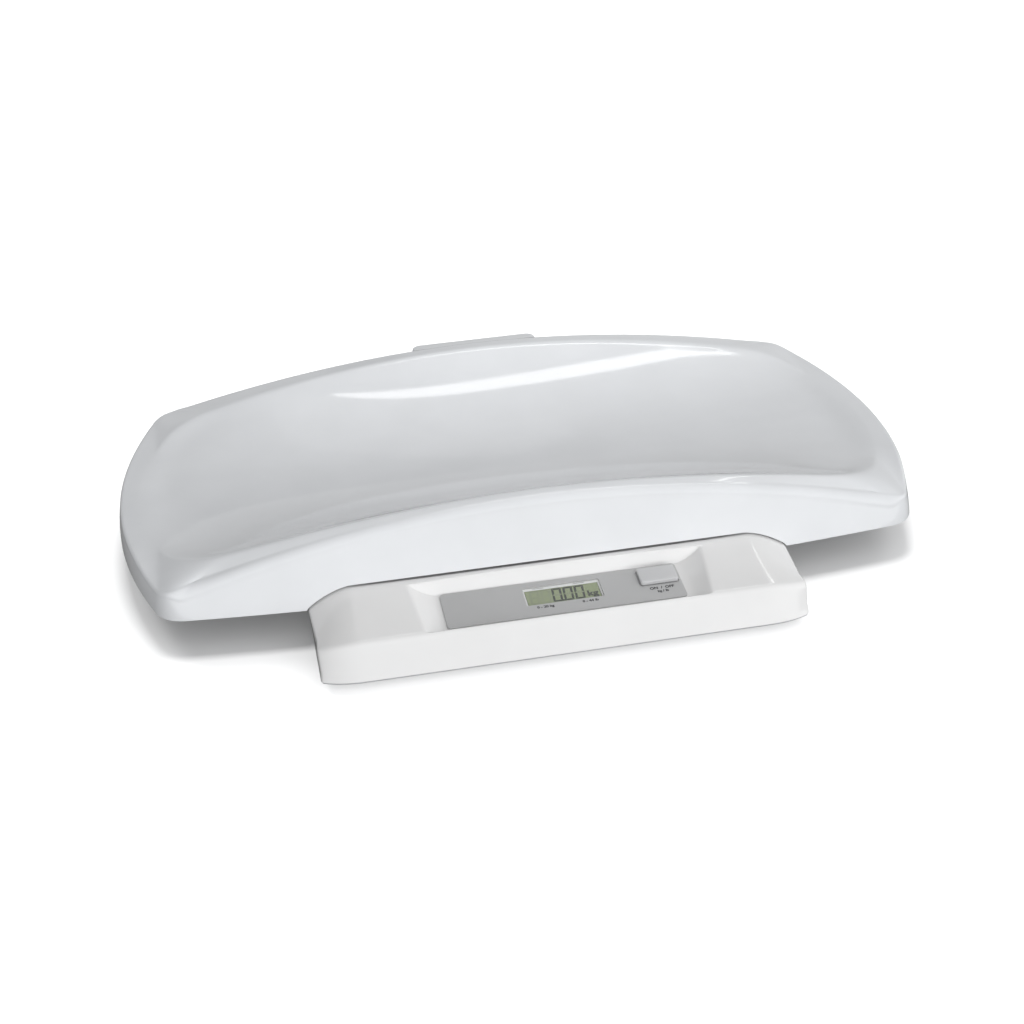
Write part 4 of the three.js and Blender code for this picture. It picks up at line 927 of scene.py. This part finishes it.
boss_hole = [
    (0.0039, pan_low - 0.01), (0.0039, pan_low), (0.0034, pan_low + 0.0006), (0.0034, pan_low + 0.0033),
]
pan_cuts = turned_at(screw_places, "boss_hole", boss_hole, steps=40)
shank_hole = [(shank_radius, pan_low), (shank_radius, pan_top + 0.01)]
pan_cuts += turned_at(screw_places, "shank_hole", shank_hole, steps=24)
foot_opening = [
    (0.0178, pan_low - 0.01), (0.0178, pan_low), (0.017, pan_low + 0.0008), (0.017, pan_top + 0.01),
]
pan_cuts += turned_at(foot_places.values(), "foot_opening", foot_opening, steps=72)
flange_half = door_half + flange_reach + seat_gap
flange_front = base_rear_y - base_wall - pan_rim_gap - pan_rim_wall - seat_gap
past_rear, past_top = base_rear_y + 0.01, pan_top + 0.02
pan_cuts += [
    eased_plate(
        "bare_panel", (0.074, 0.038), 0.003, pan_low - 0.002, pan_low + 0.0004, 0, (0, base_front_y + 0.077)
    ),
    box_piece("door_opening", (-door_half, door_front, pan_low - 0.01), (door_half, past_rear, past_top)),
    box_piece("flange_room", (-flange_half, flange_front, pan_top), (flange_half, past_rear, past_top)),
]
combine(pan, "DIFFERENCE", pan_cuts)
dress(pan, pan_white, "base", "pan_white", "base_bottom_pan")

# Pan screws: six zinc-plated tapping screws with pan heads and cross recesses, driven up through the
# pan's bosses into the cover's posts.
for number, place in enumerate(screw_places, 1):
    head_low, tip = (end.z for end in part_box(f"pan_screw_{number}"))
    profile = [
        (0.0012, head_low), (0.0022, head_low + 0.0001), (0.0028, head_low + 0.0004),
        (0.0031, head_low + 0.0009), (0.0031, head_low + 0.0022), (0.0013, head_low + 0.0022),
    ]
    height = head_low + 0.0028
    while height < tip - 0.002:
        profile += [(0.00115, height), (0.0015, height + 0.0004), (0.00115, height + 0.0008)]
        height += 0.0011
    profile += [(0.0011, tip - 0.0016), (0.0002, tip)]
    screw = turned(f"tapping_screw_{number}", profile, place, steps=28)
    recess = []
    for width, depth in ((0.0036, 0.00084), (0.00084, 0.0036)):
        levels = ((1.1, head_low - 0.001), (1, head_low), (0.6, head_low + 0.0012))
        recess.append(lofted("recess", [
            [(x, y, height) for x, y in rectangle(place, width * share, depth * share)]
            for share, height in levels
        ]))
    combine(screw, "DIFFERENCE", recess)
    dress(screw, steel, "base", "steel", f"pan_screw_{number}")

# Cells: four dry cells in plain dark sleeves, laid side by side with their ends turned about. Sleeve and
# metal ends are one turned piece with two finishes.
cell_sleeve = moulded("plain_shrink_sleeve", (0.10, 0.145, 0.24), 0.25, 0.0016, 0.000003, 0.04)
for number in range(1, 5):
    low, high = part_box(f"battery_{number}")
    facing = 1 if number % 2 else -1
    dry_cell = turned(f"dry_cell_{number}", [
        (0.0050, 0.0002), (0.0054, 0), (0.0062, 0), (0.0065, 0.0001), (0.0068, 0), (0.0071, 0.0002),
        (cell_radius, 0.0006), (cell_radius, 0.0498), (0.0071, 0.0502), (0.0067, 0.0505), (0.0063, 0.0504),
        (0.0062, 0.0502), (0.0032, 0.0502), (0.00275, 0.0505), (0.00275, 0.0512), (0.0024, 0.0515),
    ], steps=48)
    centre = Vector(((low.x + high.x) / 2, low.y if facing > 0 else high.y, (low.z + high.z) / 2))
    dry_cell.data.transform(Matrix.Translation(centre) @ Matrix.Rotation(-facing * math.pi / 2, 4, "X"))
    dress(dry_cell, cell_sleeve, "base", "cell_jacket", f"battery_{number}")
    dry_cell.data.materials.append(nickel)
    for face in dry_cell.data.polygons:
        along = abs(face.center.y - centre.y)
        out = math.hypot(face.center.x - centre.x, face.center.z - centre.z)
        if out < 0.0065 and (along < 0.003 or along > 0.049):
            face.material_index = 1

# Battery door: a plate that slides in from the rear, flush with the pan. Its side flanges run above
# the pan's floor, and five grooves and an arrow on its underside show where to push.
door_ease = 0.0004
plate_size = (2 * (door_half - seat_gap), door_high.y - door_front - seat_gap)
plate_middle = (door_high.y + door_front + seat_gap) / 2
door = eased_plate("door_plate", plate_size, 0.001, door_low.z, door_high.z, door_ease, (0, plate_middle))
flange_size = (door_high.x - door_low.x, door_high.y - door_low.y)
flange_middle = (0, (door_low.y + door_high.y) / 2)
flange_low = pan_top + seat_gap
flange = eased_plate("door_flange", flange_size, 0.0008, flange_low, door_high.z, 0.0003, flange_middle)
combine(door, "UNION", [flange])
groove_size, groove_pitch, groove_top = (0.030, 0.0016), 0.0034, door_low.z + 0.0007
door_cuts = []
for row in range(2, 7):
    centre = (0, base_rear_y - row * groove_pitch)
    groove = eased_plate("door_groove", groove_size, 0.0008, door_low.z - 0.001, groove_top, 0.0003, centre)
    door_cuts.append(groove)
arrow_tail = base_rear_y - 0.030
arrow = [(-0.0045, arrow_tail), (0.0045, arrow_tail), (0, arrow_tail + 0.006)]
door_cuts.append(flat_marks("door_arrow", [arrow], door_low.z - 0.001, door_low.z + 0.0003))
combine(door, "DIFFERENCE", door_cuts)
dress(door, pan_white, "battery_door", "pan_white", "battery_door")

# Tray rings: soft grey moulded rubber rings that lie on the deck round the base's pegs. The tray's
# sockets stand on them, so that the tray sits firm and doesn't rattle.
rubber_grey = moulded("grey_rubber", (0.36, 0.37, 0.39), 0.7, 0.0006, 0.00002, 0.06)
for corner, place in peg_places.items():
    low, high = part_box(f"tray_ring_{corner}")
    inner, outer = peg_radius + 0.0004, (high.x - low.x) / 2
    soft = 0.0007
    profile = []
    for turn_radius, turn_height, first in (
        (outer - soft, high.z - soft, 0),
        (inner + soft, high.z - soft, 1),
        (inner + soft, low.z + soft, 2),
        (outer - soft, low.z + soft, 3),
    ):
        for step in range(4):
            turn = (first + step / 3) * math.pi / 2
            profile.append((turn_radius + soft * math.cos(turn), turn_height + soft * math.sin(turn)))
    rubber_ring = turned(f"rubber_ring_{corner}", profile, place, closed=True)
    dress(rubber_ring, rubber_grey, "base", "rubber_grey", f"tray_ring_{corner}", crease=60)

# Tray shell: one thin glossy ABS moulding, saddle-shaped along its long sides and bowed at its ends.
# A flat lip runs round a shallow trough, the skirt below is cut away round the console, and ribs
# and four sockets underneath stand on the base.
end_bulge = 0.0291
skirt_flare = 0.00184
skirt_side_bulge = 0.0153
tray_low, tray_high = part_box("tray_shell")
tray_corner_x = tray_high.x - end_bulge - skirt_flare
tray_corner_y = tray_high.y - tray_middle_y - skirt_side_bulge - skirt_flare
side_draw_in = 0.0045
tray_corner_reach = 0.014
rim_arch_rise = 0.033
rim_arch_power = 1.95
rim_end_z = tray_high.z - rim_arch_rise
rim_end_sag = 0.0024
skirt_bottom = tray_low.z
skirt_belly = 0.00045
tray_wall = 0.003
rear_edge_radius = 0.003
front_edge_radius = 0.0055
front_edge_softening = 0.0035
front_edge_stretch = 1.3
front_lip_fall = 0.0016
front_lip_end_fall = 0.0022
front_lip_power = 1.6
lip_fall_start, lip_fall_span = 0.5, 0.44
end_edge_radius = 0.0022
lip_end_width = 0.0135
lip_side_width = 0.025
well_corner_x = tray_corner_x - lip_end_width
well_corner_y = tray_corner_y - lip_side_width
well_side_bulge = 0.0115
well_end_bulge = 0.0276
well_corner_reach = 0.034
trough_floor = rim_end_z - 0.0042
trough_power = 2.2
trough_inmost_scale = 0.03
skirt_rows, edge_rows, lip_rows, trough_rows, crest_rows = 15, 8, 10, 54, 40
rim_smoothing, crest_smoothing = 6, 5
end_step_share = 0.93
side_steps, end_steps, corner_steps = 96, 56, 14


def rim_height(x):
    share = np.minimum(1, np.abs(x) / tray_corner_x)
    return rim_end_z + rim_arch_rise * (1 - share ** rim_arch_power)


def end_height(share):
    return rim_end_z - rim_end_sag * (1 - share ** 2)


def loop_round(corner_x, corner_y, bulge_x, bulge_y, reach):
    """One loop round the tray: four bowed sides, with each corner bent over a reach."""
    sides = []
    for kind, sign in (("side", -1), ("end", 1), ("side", 1), ("end", -1)):
        if kind == "side":
            x = np.linspace(-1, 1, side_steps + 1) * -sign * (corner_x - reach)
            y = sign * (corner_y + bulge_y * (1 - (x / corner_x) ** 2))
            z = rim_height(x)
        else:
            y = np.linspace(-1, 1, end_steps + 1) * sign * (corner_y - reach)
            x = sign * (corner_x + bulge_x * (1 - (y / corner_y) ** 2))
            z = end_height(y / corner_y)
        sides.append(np.column_stack((x, y, z)))
    loop = []
    share = np.linspace(0, 1, corner_steps + 1)[1:-1, None]
    for i, side in enumerate(sides):
        last, first = side[-1], sides[(i + 1) % 4][0]
        middle_z = (last[2] + first[2]) / 2
        corner = np.array((np.sign(last[0]) * corner_x, np.sign(last[1]) * corner_y, middle_z))
        loop.append(side)
        loop.append((1 - share) ** 2 * last + 2 * share * (1 - share) * corner + share ** 2 * first)
    return np.vstack(loop)


def smooth(share):
    """Rises gently from 0 to 1."""
    return share ** 2 * (3 - 2 * share)


def tray_rows(depth):
    """Rows of the tray's skin from the skirt's foot over the rim to the middle of the trough."""
    edge_reach = 0.012

    def outline(grow, side_bulge):
        corner_x, corner_y = tray_corner_x + grow, tray_corner_y + grow
        return loop_round(corner_x, corner_y, end_bulge, side_bulge, tray_corner_reach)

    rim = outline(-depth, -side_draw_in)
    within = outline(-depth - edge_reach, -side_draw_in)
    foot = outline(skirt_flare - depth, skirt_side_bulge)
    well_bulge = well_side_bulge - side_draw_in
    well = loop_round(well_corner_x, well_corner_y, well_end_bulge, well_bulge, well_corner_reach)
    for loop in (rim, well):
        for _ in range(rim_smoothing):
            loop[:, 2] = (np.roll(loop[:, 2], 1) + 2 * loop[:, 2] + np.roll(loop[:, 2], -1)) / 4
    along = np.abs(rim[:, 0]) / tray_corner_x
    past_side = np.abs(rim[:, 0]) - (tray_corner_x - tray_corner_reach)
    at_end = smooth(np.clip(past_side / tray_corner_reach, 0, 1))
    in_front = rim[:, 1] < 0
    side_radius = np.where(in_front, front_edge_radius + front_edge_softening * along ** 3, rear_edge_radius)
    radius = side_radius * (1 - at_end) + end_edge_radius * at_end
    forward = np.clip((-rim[:, 1] / tray_corner_y - lip_fall_start) / lip_fall_span, 0, 1)
    fall = (front_lip_fall + front_lip_end_fall * along ** 2) * smooth(forward)
    stretch = np.where(in_front, 1 + (front_edge_stretch - 1) * (1 - at_end), 1)
    lip_width = np.linalg.norm((well - rim)[:, :2], axis=1)

    def fallen(inward):
        return fall * (1 - np.minimum(1, inward / lip_width)) ** front_lip_power

    def rim_point(turn):
        inset = radius * stretch * (1 - math.cos(turn))
        point = rim + (within - rim) * (inset / edge_reach)[:, None]
        point[:, 2] = rim[:, 2] - radius * (1 - math.sin(turn)) - fallen(inset)
        return point

    rows = []
    top = rim_point(0)
    bottom = foot.copy()
    bottom[:, 2] = skirt_bottom + depth
    out = np.column_stack((rim[:, 0] / tray_corner_x, rim[:, 1] / tray_corner_y))
    out /= np.linalg.norm(out, axis=1)[:, None]
    for share in np.linspace(1, 0, skirt_rows):
        row = top + (bottom - top) * share
        row[:, :2] += out * skirt_belly * 4 * share * (1 - share)
        rows.append(row)
    for step in range(1, edge_rows + 1):
        rows.append(rim_point(step / edge_rows * math.pi / 2))
    lip_start = len(rows) - 1
    edge = rows[-1].copy()
    edge_inset = radius * stretch
    edge[:, 2] += fallen(edge_inset)
    for share in np.linspace(0, 1, lip_rows + 1)[1:]:
        row = edge + (well - edge) * share
        row[:, 2] -= fallen(edge_inset + (lip_width - edge_inset) * share)
        rows.append(row)
    inward = np.linspace(0, 1, trough_rows)[1:]
    scales = 1 - (1 - trough_inmost_scale) * (0.6 * inward + 0.4 * inward ** 2)

    def trough_height(x, y):
        reach_x = np.minimum(1, np.abs(x) / well_corner_x)
        half_depth = well_corner_y + well_bulge * (1 - reach_x ** 2)
        share = np.minimum(1, np.abs(y) / half_depth)
        return trough_floor + (rim_height(x) - trough_floor) * share ** trough_power

    brim = trough_height(well[:, 0], well[:, 1])
    for scale in scales:
        x, y = well[:, 0] * scale, well[:, 1] * scale
        z = trough_height(x, y)
        step_share = held((scale - end_step_share) / (1 - end_step_share))
        z += (well[:, 2] - brim) * smooth(step_share)
        rows.append(np.column_stack((x, y, z)))
    skin = np.array(rows)
    crest = skin[lip_start + 1:lip_start + crest_rows, :, 2]
    for _ in range(crest_smoothing):
        crest[1:-1] = (crest[:-2] + 2 * crest[1:-1] + crest[2:]) / 4
    skin[:, :, 2] -= depth
    skin[:, :, 1] += tray_middle_y
    return skin


def tray_block(name, depth, deep):
    skin = tray_rows(depth)
    foot = skin[:1] - np.array((0, 0, deep))
    return lofted(name, np.concatenate((foot, skin)) if deep else skin)


socket_wall = 0.003
socket_play = 0.0004
socket_bottom = deck_z + 0.0036
rib_width = 0.0022
peg_x, peg_y = abs(peg_places["rear_right"][0]), peg_places["rear_right"][1] - tray_middle_y
long_rib_y = peg_y - 0.028
long_rib_half = tray_corner_x - 0.0249
cross_rib_half = peg_y + 0.01
cross_rib_offsets = (-0.058, 0.048)
rib_top = tray_high.z

tray = tray_block("tray", depth=0, deep=0)
combine(tray, "DIFFERENCE", [tray_block("tray_inside", depth=tray_wall, deep=0.04)])
ribs = []
for side in (-1, 1):
    y = tray_middle_y + side * long_rib_y
    ribs.append(box_piece(
        "long_rib",
        (-long_rib_half, y - rib_width / 2, socket_bottom),
        (long_rib_half, y + rib_width / 2, rib_top),
    ))
    for from_peg in cross_rib_offsets:
        x = side * (peg_x + from_peg)
        ribs.append(box_piece(
            "cross_rib",
            (x - rib_width / 2, tray_middle_y - cross_rib_half, socket_bottom),
            (x + rib_width / 2, tray_middle_y + cross_rib_half, rib_top),
        ))
inner, outer = peg_radius + socket_play, peg_radius + socket_play + socket_wall
socket = [(inner, socket_bottom), (outer, socket_bottom), (outer, rib_top), (inner, rib_top)]
ribs += turned_at(peg_places.values(), "socket", socket, closed=True)
combine(ribs[0], "UNION", ribs[1:])
combine(ribs[0], "INTERSECT", [tray_block("tray_middle", tray_wall / 2, 0)])
combine(tray, "UNION", ribs[:1])
console_notch = base_block("console_notch", grow=seam_gap, bottom=0, pocket_drop=0.004, spacing=fine_spacing)
combine(tray, "DIFFERENCE", [console_notch])
dress(tray, gloss_white, "tray", "gloss_white", "tray_shell")
shading_tray.objects.link(tray)

# Rear grip: a small glossy ABS tab behind the middle of the rear rim, for the fingers of one hand. It is
# moulded in one with the tray, and its inner side follows the skirt.
grip_low, grip_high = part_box("rear_grip")
grip_reach = 0.0095
grip_middle = tray_middle_y + tray_corner_y - side_draw_in
grip_size = (grip_high.x - grip_low.x, 2 * grip_reach)
grip = eased_plate("grip_tab", grip_size, 0.007, grip_low.z, grip_high.z, 0.0014, (0, grip_middle))
combine(grip, "DIFFERENCE", [tray_block("grip_cut", -seat_gap, 0)])
dress(grip, gloss_white, "tray", "gloss_white", "rear_grip")
shading_tray.objects.link(grip)
tray_lamp_place = (-0.2, -0.03, 1.57)
hung_lamp("tray_lamp", tray_lamp_place, width=2.4, depth=0.95, watts=2.1, lit_things=shading_tray)
